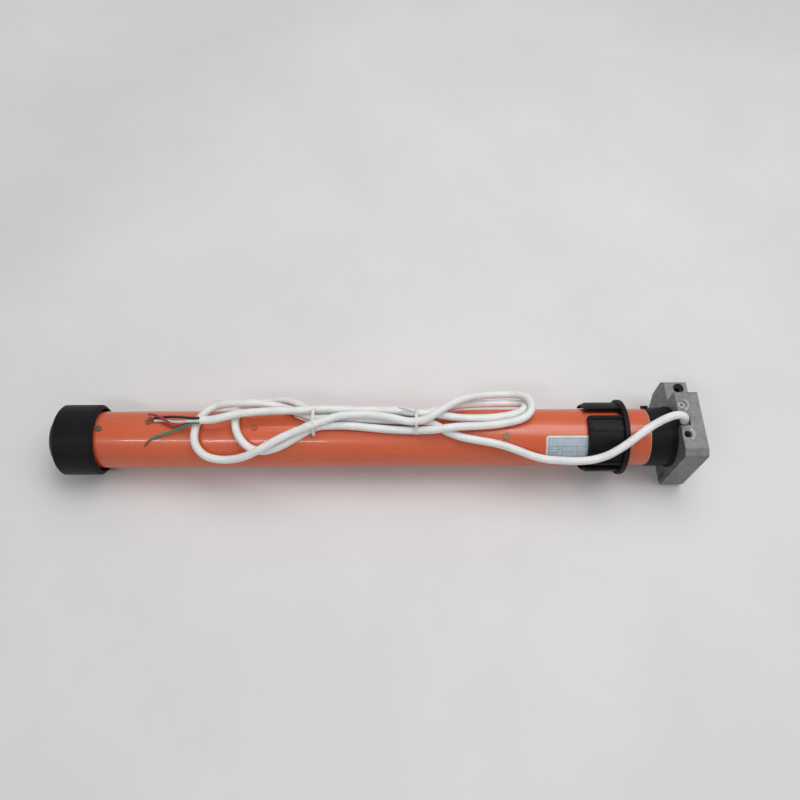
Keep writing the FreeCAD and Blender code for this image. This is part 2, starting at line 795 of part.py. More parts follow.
WALL = 2.1
END_PLATE = 3
limit_frame = turned_piece(
    "limit_frame",
    [
        (limit_left, hollow_shaft + gap),
        (limit_left + END_PLATE, hollow_shaft + gap),
        (limit_left + END_PLATE, core_radius - WALL),
        (limit_right - END_PLATE, core_radius - WALL),
        (limit_right - END_PLATE, hollow_shaft + gap),
        (limit_right, hollow_shaft + gap),
        (limit_right, seat_radius),
        (limit_left, seat_radius),
    ],
)
for side in SPINDLE_STEP:
    drill_ring(
        limit_frame,
        limit_right + 1,
        cell("limit_length") + 0.5,
        as_size(spindle_centre),
        spindle_radius + 0.1,
        1,
        spindle_angle[side],
    )
NUT_LENGTH = 8
NUT_HALF_WIDTH = 4
NUT_INNER = 17
nut_outer = core_radius.value - WALL - gap.value
limit_middle = (limit_left.value + limit_right.value) / 2
for side in SPINDLE_STEP:
    angle = spindle_angle[side]
    centre = around(angle, spindle_centre)
    spindle = bar(limit_left.value + END_PLATE - 2, web_right.value - 0.8, spindle_radius.value, centre)
    pinion = gear(
        PINION_TEETH, limit_module, angle, pinion_left.value, pinion_right.value, centre
    )
    solid(f"limit_spindle_{side}", spindle.fuse(pinion).removeSplitter())
    half_angle = math.degrees(NUT_HALF_WIDTH / spindle_centre)
    nut = sector(
        limit_middle - NUT_LENGTH / 2,
        limit_middle + NUT_LENGTH / 2,
        NUT_INNER,
        nut_outer,
        angle - half_angle,
        angle + half_angle,
    )
    thread_hole = bar(limit_left.value, limit_right.value, spindle_radius.value + gap.value / 2, centre)
    solid(f"limit_nut_{side}", nut.cut(thread_hole))

SWITCH = (12, 6, 8)
switch_shapes = []
for angle in (200, 340):
    switch = Part.makeBox(SWITCH[0], SWITCH[1], SWITCH[2])
    switch.translate(Vector(limit_left.value + END_PLATE, -SWITCH[1] / 2, 14.5))
    switch.rotate(Vector(), Vector(1, 0, 0), angle - 90)
    switch_shapes.append(switch)
solid("microswitches", Part.makeCompound(switch_shapes))

# Capacitor in its holder, which carries the motor on the hollow shaft

capacitor_radius = cell("capacitor_radius")
HUB_WALL = 8
turned_piece(
    "capacitor_holder",
    [
        (holder_left, capacitor_radius + fit),
        (holder_right - HUB_WALL, capacitor_radius + fit),
        (holder_right - HUB_WALL, cell("hollow_bore")),
        (holder_right, cell("hollow_bore")),
        (holder_right, core_radius),
        (holder_left, core_radius),
    ],
)
capacitor_right = holder_right - HUB_WALL - 1
capacitor_left = capacitor_right - cell("capacitor_length")
turned_piece(
    "capacitor",
    [
        (capacitor_left, 0),
        (capacitor_left, capacitor_radius - 2),
        (capacitor_left + 2, capacitor_radius),
        (capacitor_right - 1, capacitor_radius),
        (capacitor_right, capacitor_radius - 1),
        (capacitor_right, 0),
    ],
)

# Motor: shields, bearings, stator, windings, rotor

bearing_radius = cell("bearing_radius")
bearing_width = cell("bearing_width")
shaft_clear = shaft_radius + gap
turned_piece(
    "rear_shield",
    [
        (rear_shield_left, bearing_radius),
        (rear_shield_left + bearing_width, bearing_radius),
        (rear_shield_left + bearing_width, shaft_radius - 1),
        (holder_left, shaft_radius - 1),
        (holder_left, core_radius),
        (rear_shield_left, core_radius),
    ],
)
turned_piece(
    "front_shield",
    [
        (front_shield_left, shaft_clear),
        (front_shield_right - bearing_width, shaft_clear),
        (front_shield_right - bearing_width, bearing_radius),
        (front_shield_right, bearing_radius),
        (front_shield_right, core_radius),
        (front_shield_left, core_radius),
    ],
)
bearing_shapes = [
    bar(right - bearing_width.value, right, bearing_radius.value - fit.value).cut(
        bar(right - bearing_width.value - 1, right + 1, shaft_radius.value + fit.value)
    )
    for right in (rear_shield_left.value + bearing_width.value, front_shield_right.value)
]
solid("ball_bearings", Part.makeCompound(bearing_shapes))

stator_bore = cell("stator_bore")
SLOTS = 16
stator_core = sleeve("stator_core", stator_left, stator_right, stator_bore, core_radius)
slot_sketch = new_sketch(stator_core, "YZ_Plane", stator_right)
draw_outline(slot_sketch, rectangle(stator_bore + 1.5, -1.2, core_radius - 3, 1.2))
slot = pocket(stator_core, slot_sketch, cell("stator_length"))
polar_copies(stator_core, slot, SLOTS)

winding_inner = stator_bore + 1.5
winding_outer = core_radius - 2.5
winding_shapes = []
for left, right in ((stator_right, rear_shield_left), (front_shield_right, stator_left)):
    coil = bar(left.value, right.value, winding_outer.value)
    winding_shapes.append(coil.cut(bar(left.value - 1, right.value + 1, winding_inner.value)))
solid("stator_windings", Part.makeCompound(winding_shapes))

rotor_radius = stator_bore - cell("air_gap")
rotor_bore = shaft_radius + 1
sleeve("rotor_core", stator_left, stator_right, rotor_bore, rotor_radius)

# Gearbox: three planetary stages in one ring gear

SUN_TEETH = 15
PLANET_TEETH = 21
RING_TEETH = SUN_TEETH + 2 * PLANET_TEETH
PLANETS = 3
STAGE_LENGTHS = [20, 28, 40]
gear_module = cell("gear_module").value
planet_circle = gear_module * (SUN_TEETH + PLANET_TEETH) / 2
carrier_width = cell("carrier_width").value
stage_gap = cell("stage_gap").value
pin_radius = cell("planet_bore").value
gearbox_right = brake_left.value

stages = []
station = gearbox_right - stage_gap
for length in STAGE_LENGTHS:
    gears_right = station
    gears_left = gears_right - length
    carrier_right = gears_left - 1
    carrier_left = carrier_right - carrier_width
    stages.append((gears_left, gears_right, carrier_left, carrier_right))
    station = carrier_left - stage_gap

ring_blank = bar(cap_right.value, gearbox_right, core_radius.value)
solid(
    "ring_gear",
    ring_blank.cut(
        internal_teeth(RING_TEETH, gear_module, 0, cap_right.value - 1, gearbox_right + 1)
    ),
)

sun_root = gear_module * (SUN_TEETH / 2 - DEDENDUM)
carrier_radius = gear_module * (RING_TEETH / 2 - ADDENDUM) - 1


def sun_gear(stage):
    gears_left, gears_right, carrier_left, carrier_right = stages[stage]
    return gear(SUN_TEETH, gear_module, 0, gears_left, gears_right)


def carrier_with_pins(stage):
    """A disc with its three pressed planet pins and the next stage's sun on its other side."""
    gears_left, gears_right, carrier_left, carrier_right = stages[stage]
    carrier = bar(carrier_left, carrier_right, carrier_radius)
    for place in range(PLANETS):
        centre = around(FULL_TURN * place / PLANETS, planet_circle)
        carrier = carrier.fuse(bar(carrier_left, gears_right - 1, pin_radius, centre))
    if stage + 1 < len(stages):
        next_sun = stages[stage + 1]
        carrier = carrier.fuse(bar(next_sun[1], carrier_left, sun_root - 0.2))
        return carrier.fuse(sun_gear(stage + 1)).removeSplitter()
    carrier = carrier.removeSplitter()
    return carrier.cut(bar(carrier_left - 1, carrier_right + 1, output_radius.value))


for stage, (gears_left, gears_right, carrier_left, carrier_right) in enumerate(stages):
    for place in range(PLANETS):
        angle = FULL_TURN * place / PLANETS
        centre = around(angle, planet_circle)
        planet = gear(PLANET_TEETH, gear_module, angle, gears_left, gears_right, centre)
        planet_hole = bar(gears_left - 1, gears_right + 1, pin_radius + fit.value, centre)
        solid(f"planet_{stage + 1}{'abc'[place]}", planet.cut(planet_hole))
    solid(f"carrier_{stage + 1}", carrier_with_pins(stage))

# Rotor shaft, through the brake, with the first sun cut on its end

first_right = as_size(stages[0][1])
plain_shaft = doc.addObject("PartDesign::Body", "PlainRotorShaft")
revolve(
    plain_shaft,
    [
        (first_right, 0),
        (first_right, sun_root - 0.1),
        (first_right + 1, sun_root - 0.1),
        (first_right + 1, shaft_radius),
        (stator_left, shaft_radius),
        (stator_left, rotor_bore),
        (stator_right, rotor_bore),
        (stator_right, shaft_radius),
        (rear_shield_left + bearing_width, shaft_radius),
        (rear_shield_left + bearing_width, 0),
    ],
)
first_sun = doc.addObject("Part::Feature", "FirstSun")
first_sun.Shape = sun_gear(0)
rotor_shaft = doc.addObject("Part::MultiFuse", "RotorShaft")
rotor_shaft.Shapes = [plain_shaft, first_sun]
doc.recompute()
keep("rotor_shaft", rotor_shaft)

# Brake: housing, coil, armature and disc

BRAKE_WALL = 2.4
BRAKE_PLATE = 4
brake_plate_right = brake_left + BRAKE_PLATE
turned_piece(
    "brake_housing",
    [
        (brake_left, shaft_clear),
        (brake_plate_right, shaft_clear),
        (brake_plate_right, core_radius - BRAKE_WALL),
        (front_shield_left, core_radius - BRAKE_WALL),
        (front_shield_left, core_radius),
        (brake_left, core_radius),
    ],
)
brake_space = core_radius - BRAKE_WALL - gap
disc_left = brake_plate_right + gap
disc_right = disc_left + 5
armature_left = disc_right + gap
armature_right = armature_left + 3
coil_left = armature_right + cell("brake_stroke") + 0.1
sleeve("brake_disc", disc_left, disc_right, shaft_radius, brake_space)
sleeve("brake_armature", armature_left, armature_right, shaft_radius + 2, brake_space)
sleeve("brake_coil", coil_left, front_shield_left, shaft_radius + 3, core_radius - BRAKE_WALL)

# Gearbox end cap, bushes and output shaft

cap_journal = cell("cap_journal")
bush_right = tube_left + cell("front_bush_length")
OUTPUT_BUSH_WALL = 4
output_bush_radius = output_radius + gap / 2 + OUTPUT_BUSH_WALL
turned_piece(
    "gearbox_cap",
    [
        (cap_left, output_bush_radius),
        (cap_right, output_bush_radius),
        (cap_right, core_radius),
        (bush_right + gap, core_radius),
        (bush_right + gap, cap_journal),
        (cap_left, cap_journal),
    ],
)
sleeve("output_bush", cap_left, cap_right, output_radius + 0.1, output_bush_radius)
sleeve("front_bush", tube_left, bush_right, cap_journal + gap, seat_radius)

output_shaft = new_body("output_shaft")
shaft_end = tube_left - cell("output_reach")
CLIP_GROOVE = 1.2
clip_right = shaft_end + 2.4
revolve(
    output_shaft,
    [
        (shaft_end, 0),
        (shaft_end, output_radius),
        (clip_right - CLIP_GROOVE, output_radius),
        (clip_right - CLIP_GROOVE, output_radius - 1),
        (clip_right, output_radius - 1),
        (clip_right, output_radius),
        (as_size(stages[-1][3]), output_radius),
        (as_size(stages[-1][3]), 0),
    ],
)
output_flat = cell("output_flat")
flat_start = tube_left - 6
flat_sketch = new_sketch(output_shaft, "YZ_Plane", flat_start)
beyond = output_radius + 1
draw_outline(flat_sketch, rectangle(-beyond, output_flat, beyond, beyond))
draw_outline(flat_sketch, rectangle(-beyond, -beyond, beyond, -output_flat))
pocket(output_shaft, flat_sketch, cell("output_reach"))

# Drive wheel

wheel_radius = cell("wheel_radius")
wheel_inner = wheel_radius - cell("wheel_wall")
wheel_chamfer = cell("wheel_chamfer")
wheel_taper = cell("wheel_taper")
collar_radius = cell("collar_radius")
HUB_RADIUS = 14
WEB = 6
COLLAR_WALL = 4
COLLAR_CHAMFER = 2
HUB_CLEARANCE = 4
drive_wheel = new_body("drive_wheel")
hub_right = tube_left - HUB_CLEARANCE
revolve(
    drive_wheel,
    [
        (wheel_left + WEB, HUB_RADIUS),
        (wheel_left + WEB, wheel_inner),
        (wheel_right, wheel_inner),
        (wheel_right, wheel_radius - wheel_taper),
        (wheel_right - wheel_taper, wheel_radius),
        (wheel_left + wheel_chamfer, wheel_radius),
        (wheel_left, wheel_radius - wheel_chamfer),
        (wheel_left, collar_radius),
        (collar_left + COLLAR_CHAMFER, collar_radius),
        (collar_left, collar_radius - COLLAR_CHAMFER),
        (collar_left, collar_radius - COLLAR_WALL),
        (wheel_left, collar_radius - COLLAR_WALL),
        (wheel_left, output_radius + 0.1),
        (hub_right, output_radius + 0.1),
        (hub_right, HUB_RADIUS),
    ],
)
RIBS = 8
RIB_HALF = 1.2
rib_sketch = new_sketch(drive_wheel, "YZ_Plane", wheel_left + WEB - 1)
draw_outline(rib_sketch, rectangle(HUB_RADIUS - 1, -RIB_HALF, wheel_inner + 1, RIB_HALF))
rib = pad(drive_wheel, rib_sketch, hub_right - wheel_left - WEB - 1)
polar_copies(drive_wheel, rib, RIBS)
flat_fill = new_sketch(drive_wheel, "YZ_Plane", wheel_left)
FLAT_GAP = 0.1
FLAT_HALF = 5.5
flat_low = output_flat + FLAT_GAP
flat_high = output_radius + 1
draw_outline(flat_fill, rectangle(-FLAT_HALF, flat_low, FLAT_HALF, flat_high))
draw_outline(flat_fill, rectangle(-FLAT_HALF, -flat_high, FLAT_HALF, -flat_low))
pad(drive_wheel, flat_fill, hub_right - wheel_left - HUB_CLEARANCE)

clip = bar(clip_right.value - CLIP_GROOVE + 0.1, clip_right.value - 0.1, output_radius.value + 3)
clip = clip.cut(bar(clip_right.value - 3, clip_right.value + 1, output_radius.value - 0.9))
clip_mouth = Part.makeBox(4, 9, 12, Vector(clip_right.value - 3, -4.5, 0))
solid("shaft_clip", clip.cut(clip_mouth))

# Crown adapter

crown_right = tube_right.value - cell("crown_place").value
crown_left = crown_right - cell("crown_length").value
flange_left = crown_right - cell("flange_width").value
crown_bore = tube_radius.value + gap.value
crown_radius = cell("crown_radius").value
crown_wall = cell("crown_wall").value
BLOCK_SPAN = 90
CROWN_FINGER_SPAN = 58
FACING = 122
RIDGES = 5
RIDGE_SPAN = 6
RIDGE_DEPTH = 1.3
FLANGE_ROUND = 1.6


def crown_adapter():
    """A flanged ring with two ribbed blocks and two tapered fingers reaching along the tube."""
    flange = bar(flange_left, crown_right, cell("crown_flange").value)
    rims = [edge for edge in flange.Edges if edge.Closed and edge.BoundBox.XLength < 0.01]
    crown = flange.makeFillet(FLANGE_ROUND, rims)
    for turn in (FACING, FACING + 180):
        block = sector(
            crown_left + 1.2,
            flange_left + 1,
            crown_bore,
            crown_radius - RIDGE_DEPTH,
            turn - BLOCK_SPAN / 2,
            turn + BLOCK_SPAN / 2,
        )
        crown = crown.fuse(block)
        step = (BLOCK_SPAN - RIDGE_SPAN) / (RIDGES - 1)
        for ridge in range(RIDGES):
            start = turn - BLOCK_SPAN / 2 + ridge * step
            crown = crown.fuse(
                sector(
                    crown_left + 2.4,
                    flange_left + 1,
                    crown_radius - RIDGE_DEPTH - 0.5,
                    crown_radius,
                    start,
                    start + RIDGE_SPAN,
                )
            )
    for turn in (FACING + 90, FACING + 270):
        finger = sector(
            crown_left,
            flange_left + 1,
            crown_radius - crown_wall,
            crown_radius,
            turn - CROWN_FINGER_SPAN / 2,
            turn + CROWN_FINGER_SPAN / 2,
        )
        crown = crown.fuse(finger)
    taper = Part.Face(
        Part.makePolygon(
            [
                Vector(crown_left - 1, crown_radius + 1, 0),
                Vector(crown_left + 5, crown_radius + 1, 0),
                Vector(crown_left + 5, crown_radius, 0),
                Vector(crown_left, crown_radius - crown_wall + 1, 0),
                Vector(crown_left - 1, crown_radius - crown_wall + 1, 0),
                Vector(crown_left - 1, crown_radius + 1, 0),
            ]
        )
    ).revolve(Vector(), Vector(1, 0, 0), FULL_TURN)
    crown = crown.cut(taper)
    return crown.cut(bar(crown_left - 1, crown_right + 1, crown_bore)).removeSplitter()


solid("crown_adapter", crown_adapter())

# Cable gland in the head's notch

cable_diameter = cell("cable_diameter").value
cable_radius = cable_diameter / 2
gland_x = (head_back + notch_width / 2).value
gland_low = (cell("head_top") - notch_depth).value
GLAND_HEIGHT = 7
gland_side = notch_width.value - 0.4
gland = Part.makeBox(
    gland_side, gland_side, GLAND_HEIGHT, Vector(gland_x - gland_side / 2, -gland_side / 2, gland_low)
)
gland_hole = Part.makeCylinder(
    cable_radius + fit.value, GLAND_HEIGHT + 2, Vector(gland_x, 0, gland_low - 1)
)
solid("cable_gland", gland.cut(gland_hole))

# Cable: each point is its place along X, its angle around the tube and its distance from the axis

LEAD = [
    (gland_x, 90, 30),
    (gland_x, 90, 41),
    (-21.5, 90.5, 51),
    (-31, 92, 55.5),
    (-43, 97, 52),
    (-56, 105.5, 46.5),
    (-69, 115.5, 45.5),
    (-83, 126, 46),
    (-98, 136, 46.4),
    (-113, 143.5, 46.4),
    (-128, 146.5, 45.5),
    (-142, 148.5, 41.5),
    (-156, 151, 37.2),
    (-170, 146.5, 35.6),
    (-187, 134.5, 35.4),
    (-205, 124, 35.2),
    (-224, 118, 35),
    (-242, 112.5, 34.9),
    (-256, 105, 34.8),
    (-266, 94, 34.6),
    (-275, 86.6, 34.6),
    (-284, 86, 34.7),
]
LEFT_OUTER_LOOP = [
    (-297, 86, 34.6),
    (-316, 88, 34.3),
    (-337, 89, 34.4),
    (-357, 88.5, 34.3),
    (-375, 86.5, 34.5),
    (-390, 85.5, 34.8),
    (-403, 79.5, 34.6),
    (-418, 63, 35),
    (-433, 48, 38.5),
    (-446, 38.5, 43),
    (-459, 32.5, 45),
    (-472, 30.5, 43.6),
    (-485, 33, 39.6),
    (-497, 44, 36.8),
    (-506, 62, 36.4),
    (-511, 84, 36.4),
    (-511.5, 106, 36.4),
    (-507.5, 127, 36.4),
    (-499, 145, 36.2),
    (-486.5, 156, 36),
    (-474, 154.5, 37.5),
    (-462, 143.5, 42.5),
    (-450, 133.5, 45),
    (-436, 121.5, 44.4),
    (-420, 110, 43.2),
    (-405, 99.5, 42.6),
    (-390, 93.6, 42.1),
]
RIGHT_OUTER_LOOP = [
    (-372, 90, 43),
    (-351, 81.5, 43),
    (-328, 80.5, 43),
    (-306, 87.5, 43.2),
    (-288, 93.5, 42.1),
    (-276, 90, 45.4),
    (-263, 80, 49),
    (-249, 65, 47.6),
    (-235, 50, 45.6),
    (-219, 38.5, 45),
    (-205, 32, 45),
    (-192, 31, 45.2),
    (-178.5, 37, 45.4),
    (-168, 51.5, 44.4),
    (-166, 72, 40.4),
    (-174, 88, 37),
    (-187, 95.5, 35.8),
    (-200, 99, 35.6),
    (-213, 102.5, 36.8),
    (-225, 105, 40.6),
    (-238, 107, 43.8),
    (-251, 107.5, 44.6),
    (-264, 105.5, 44),
    (-276, 103, 39.6),
    (-287.5, 101, 35),
]
LEFT_INNER_LOOP = [
    (-306, 101, 34.4),
    (-328, 103.5, 34.4),
    (-350, 104.5, 34.4),
    (-371, 102, 34.4),
    (-390, 101, 34.8),
    (-403, 108.5, 34.8),
    (-415, 119.5, 35.1),
    (-427.5, 132, 35.4),
    (-440, 138.5, 35.5),
    (-452, 134.5, 35.4),
    (-462, 122.5, 35.3),
    (-469, 107.5, 35.3),
    (-472, 91, 35.3),
    (-472.5, 74, 35.3),
    (-470, 57.5, 35.3),
    (-463.5, 43, 35.3),
    (-452, 31, 35.4),
    (-438, 25.5, 35.4),
    (-423, 28, 35.2),
    (-410, 40.5, 35),
    (-400, 58, 34.6),
    (-389, 70.5, 34.8),
]
RIGHT_INNER_LOOP = [
    (-370, 72, 34.3),
    (-348, 70.5, 34.4),
    (-326, 69, 34.4),
    (-305, 70.5, 34.3),
    (-287, 70.5, 34.8),
    (-273, 64, 34.7),
    (-259, 54.5, 35.1),
    (-244, 43.5, 35.4),
    (-228, 34, 35.5),
    (-211, 28.8, 35.6),
    (-196, 26.8, 35.6),
    (-183.5, 29, 35.8),
    (-175, 42, 36.1),
    (-175, 61, 36),
    (-183.5, 73, 35.5),
    (-197, 75.5, 35.1),
    (-214, 76, 34.9),
    (-232, 76, 34.8),
    (-247, 75, 35.3),
    (-259, 75.5, 37.6),
    (-272, 77, 41),
    (-288, 79, 42.1),
]
FREE_END = [
    (-305, 75, 42.8),
    (-325, 68, 43.2),
    (-347, 66.5, 43.2),
    (-368, 70, 43.5),
    (-389, 78.8, 42.3),
    (-403, 78, 43.3),
    (-416, 74.5, 44.2),
    (-432, 74, 44),
    (-448, 76.5, 44.2),
    (-463, 80, 45),
    (-478, 84.5, 45.4),
    (-488, 88.5, 45.6),
    (-496, 89.8, 45.8),
    (-504, 90, 45.8),
]
HANK = (
    [LEAD[-1]]
    + LEFT_OUTER_LOOP
    + RIGHT_OUTER_LOOP
    + LEFT_INNER_LOOP
    + RIGHT_INNER_LOOP
    + FREE_END
)

CORES = {
    "core_black": [
        (-504, 88.2, 47.3),
        (-511, 88.2, 47.2),
        (-520, 83, 43.2),
        (-530, 78.5, 38.8),
        (-540, 75.5, 35.2),
        (-549, 75.8, 33.2),
        (-557, 78.5, 32.6),
    ],
    "core_white": [
        (-504, 91.8, 47.3),
        (-511.5, 91.8, 47.2),
        (-521, 89.8, 42),
        (-531, 87, 37.4),
        (-541, 82.8, 34.2),
        (-550, 81.8, 32.8),
        (-558, 84.5, 32.4),
    ],
    "core_red": [
        (-504, 88, 44.3),
        (-509.5, 88, 44.2),
        (-519, 88.6, 39.4),
        (-528, 90.2, 34.8),
        (-538, 90, 32.8),
        (-547, 88, 32.3),
        (-554.5, 89.6, 32.2),
    ],
    "core_green": [
        (-504, 92, 44.3),
        (-509.5, 92, 44.2),
        (-519, 96, 40),
        (-528, 99.8, 36),
        (-538, 104, 33.4),
        (-547, 108.8, 32.5),
        (-553.5, 113.6, 32.3),
        (-556.5, 120.5, 32.3),
    ],
}


def route_points(route):
    return [around(angle, radius, along) for along, angle, radius in route]


def rounded_path(points):
    """Straight runs joined by tangent arcs, each as large as its two runs allow, and the radii."""
    edges = []
    radii = []
    start = points[0]
    for before, corner, after in zip(points, points[1:], points[2:]):
        back = before - corner
        ahead = after - corner
        reach = 0.45 * min(back.Length, ahead.Length)
        back.normalize()
        ahead.normalize()
        half_turn = (math.pi - back.getAngle(ahead)) / 2
        radius = reach / math.tan(half_turn)
        arc_start = corner + back * reach
        arc_end = corner + ahead * reach
        inward = (back + ahead).normalize()
        middle = corner + inward * (radius / math.cos(half_turn) - radius)
        edges.append(Part.LineSegment(start, arc_start).toShape())
        edges.append(Part.Arc(arc_start, middle, arc_end).toShape())
        radii.append(radius)
        start = arc_end
    edges.append(Part.LineSegment(start, points[-1]).toShape())
    return Part.Wire(edges), radii


def cord_solid(label, route, diameter):
    """A round cord along a route; prints its length, least radius and how its volume compares."""
    points = route_points(route)
    path, radii = rounded_path(points)
    direction = points[1] - points[0]
    circle = Part.Circle(points[0], direction, diameter / 2)
    tube = path.makePipeShell([Part.Wire(circle.toShape())], True, False)
    section = math.pi * diameter**2 / 4
    share = tube.Volume / (section * path.Length)
    print(f"{label}: length {path.Length:.0f} mm, volume {share:.4f} of section times length")
    print(f"{label}: bend radii " + " ".join(f"{radius:.0f}" for radius in radii))
    solid(label, tube)
    return path


def least_self_gap(path, diameter, step=2.0):
    """The least gap between stretches of one cord that lie beside each other, on points."""
    points = path.discretize(Distance=step)
    apart = int(3 * diameter / step)
    least = min(
        first.distanceToPoint(second)
        for index, first in enumerate(points)
        for second in points[index + apart :]
    )
    return least - diameter


cord_solid("cable_lead", LEAD, cable_diameter)
hank_path = cord_solid("cable_hank", HANK, cable_diameter)
print(f"cable_hank: least gap to itself {least_self_gap(hank_path, cable_diameter):.2f} mm")
for label, route in CORES.items():
    cord_solid(label, route, cell("wire_diameter").value)

# Ties around the hank's five strands, close to the tube under them

tie_thickness = cell("tie_thickness").value
tie_width = cell("tie_width").value
TIE_GAP = 0.35
TIE_X = [-287, -390]


def strands_at(path, along):
    """Where the cable crosses a plane square to the tube, in order around the bundle."""
    points = path.discretize(Distance=0.5)
    strands = []
    for first, second in zip(points, points[1:]):
        if (first.x - along) * (second.x - along) < 0:
            share = (along - first.x) / (second.x - first.x)
            strands.append(first + (second - first) * share)
    middle = sum(strands, Vector()) * (1 / len(strands))
    return sorted(strands, key=lambda point: math.atan2(point.z - middle.z, point.y - middle.y))


def tie_block(strands, left, clearance):
    """The bundle's outline at a clearance, its underside curved like the tube below it."""
    corners = [Vector(left, point.y, point.z) for point in strands]
    outline = Part.makePolygon(corners + corners[:1]).makeOffset2D(cable_radius + clearance)
    block = Part.Face(outline).extrude(Vector(tie_width, 0, 0))
    floor = min(math.hypot(point.y, point.z) for point in strands) - cable_radius - clearance
    return block.cut(bar(left - 1, left + tie_width + 1, floor))


def cable_tie(along):
    left = along - tie_width / 2
    strands = strands_at(hank_path, along)
    outside = tie_block(strands, left, TIE_GAP + tie_thickness)
    return outside.cut(tie_block(strands, left, TIE_GAP))


solid("cable_ties", Part.makeCompound([cable_tie(along) for along in TIE_X]))

# Checks and export

doc.recompute()
for item in doc.Objects:
    if "Invalid" in item.State or "Error" in item.State:
        raise ValueError(f"{item.Label} failed: {item.State}")
for label, item in nodes.items():
    if item.Shape.isNull() or not item.Shape.isValid():
        raise ValueError(f"{label} has no valid shape")

os.makedirs("parts", exist_ok=True)
for label, item in nodes.items():
    item.Shape.exportStep(os.path.join("parts", f"{label}.step"))
    print(f"{label}: {len(item.Shape.Solids)} solid, {item.Shape.Volume:.0f} mm3")
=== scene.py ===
"""Awning motor: finishes, the tied cable with its stripped cores, the bare label and small details.

Metres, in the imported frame: +X from the drive wheel to the head, +Z up, angles about +X from +Y.
"""

import json
import math

import bmesh
import bpy
from mathutils import Matrix, Vector


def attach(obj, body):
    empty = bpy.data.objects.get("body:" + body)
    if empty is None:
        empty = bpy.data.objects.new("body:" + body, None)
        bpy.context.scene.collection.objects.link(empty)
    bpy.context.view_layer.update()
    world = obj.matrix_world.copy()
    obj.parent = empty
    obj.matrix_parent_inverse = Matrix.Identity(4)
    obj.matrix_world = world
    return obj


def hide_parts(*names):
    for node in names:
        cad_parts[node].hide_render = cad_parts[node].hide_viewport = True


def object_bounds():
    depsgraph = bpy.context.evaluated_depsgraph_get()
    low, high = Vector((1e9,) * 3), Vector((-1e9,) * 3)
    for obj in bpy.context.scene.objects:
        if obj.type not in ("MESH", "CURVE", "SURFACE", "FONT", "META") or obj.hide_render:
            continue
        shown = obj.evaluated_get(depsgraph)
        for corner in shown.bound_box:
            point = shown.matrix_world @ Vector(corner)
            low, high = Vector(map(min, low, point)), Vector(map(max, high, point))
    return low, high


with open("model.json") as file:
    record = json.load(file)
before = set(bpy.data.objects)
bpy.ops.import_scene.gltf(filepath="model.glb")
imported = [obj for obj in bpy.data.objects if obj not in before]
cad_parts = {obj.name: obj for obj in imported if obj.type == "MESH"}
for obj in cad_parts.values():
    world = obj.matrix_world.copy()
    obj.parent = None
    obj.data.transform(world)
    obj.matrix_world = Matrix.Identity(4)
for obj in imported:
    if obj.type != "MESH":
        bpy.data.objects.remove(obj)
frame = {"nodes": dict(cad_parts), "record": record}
cad_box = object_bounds()
MM = 0.001

# Real sizes, as in the model
TUBE_RADIUS = 29.5 * MM
TUBE_RIGHT = -49.3 * MM
TUBE_LEFT = -621.3 * MM
CABLE_DIAMETER = 8 * MM
CORE_DIAMETER = 2.7 * MM
HEAD_TOP = 39 * MM
ADJUSTER_X = -18 * MM
ADJUSTER_PLACES = (-15 * MM, 18 * MM)
CASE = "motor_case"


def around(angle, radius, along=0.0):
    """A point at an angle and radius around the tube's axis."""
    turn = math.radians(angle)
    return Vector((along, radius * math.cos(turn), radius * math.sin(turn)))


# Camera at the photograph's viewing angle

CAMERA_PLACE = (-0.3033, -0.3077, 0.6859)
CAMERA_TILT = math.radians(27.2)
CAMERA_ROLL = math.radians(-0.315)
CAMERA_LENS = 32.2


def add_camera():
    camera_data = bpy.data.cameras.new("photo_camera")
    camera_data.lens = CAMERA_LENS
    camera = bpy.data.objects.new("photo_camera", camera_data)
    bpy.context.scene.collection.objects.link(camera)
    camera.location = CAMERA_PLACE
    turn = Matrix.Rotation(CAMERA_TILT, 4, "X") @ Matrix.Rotation(CAMERA_ROLL, 4, "Z")
    camera.rotation_euler = turn.to_euler()
    bpy.context.scene.camera = camera


add_camera()

# Cable: each point is its place along X, its angle around the tube and its distance from the axis

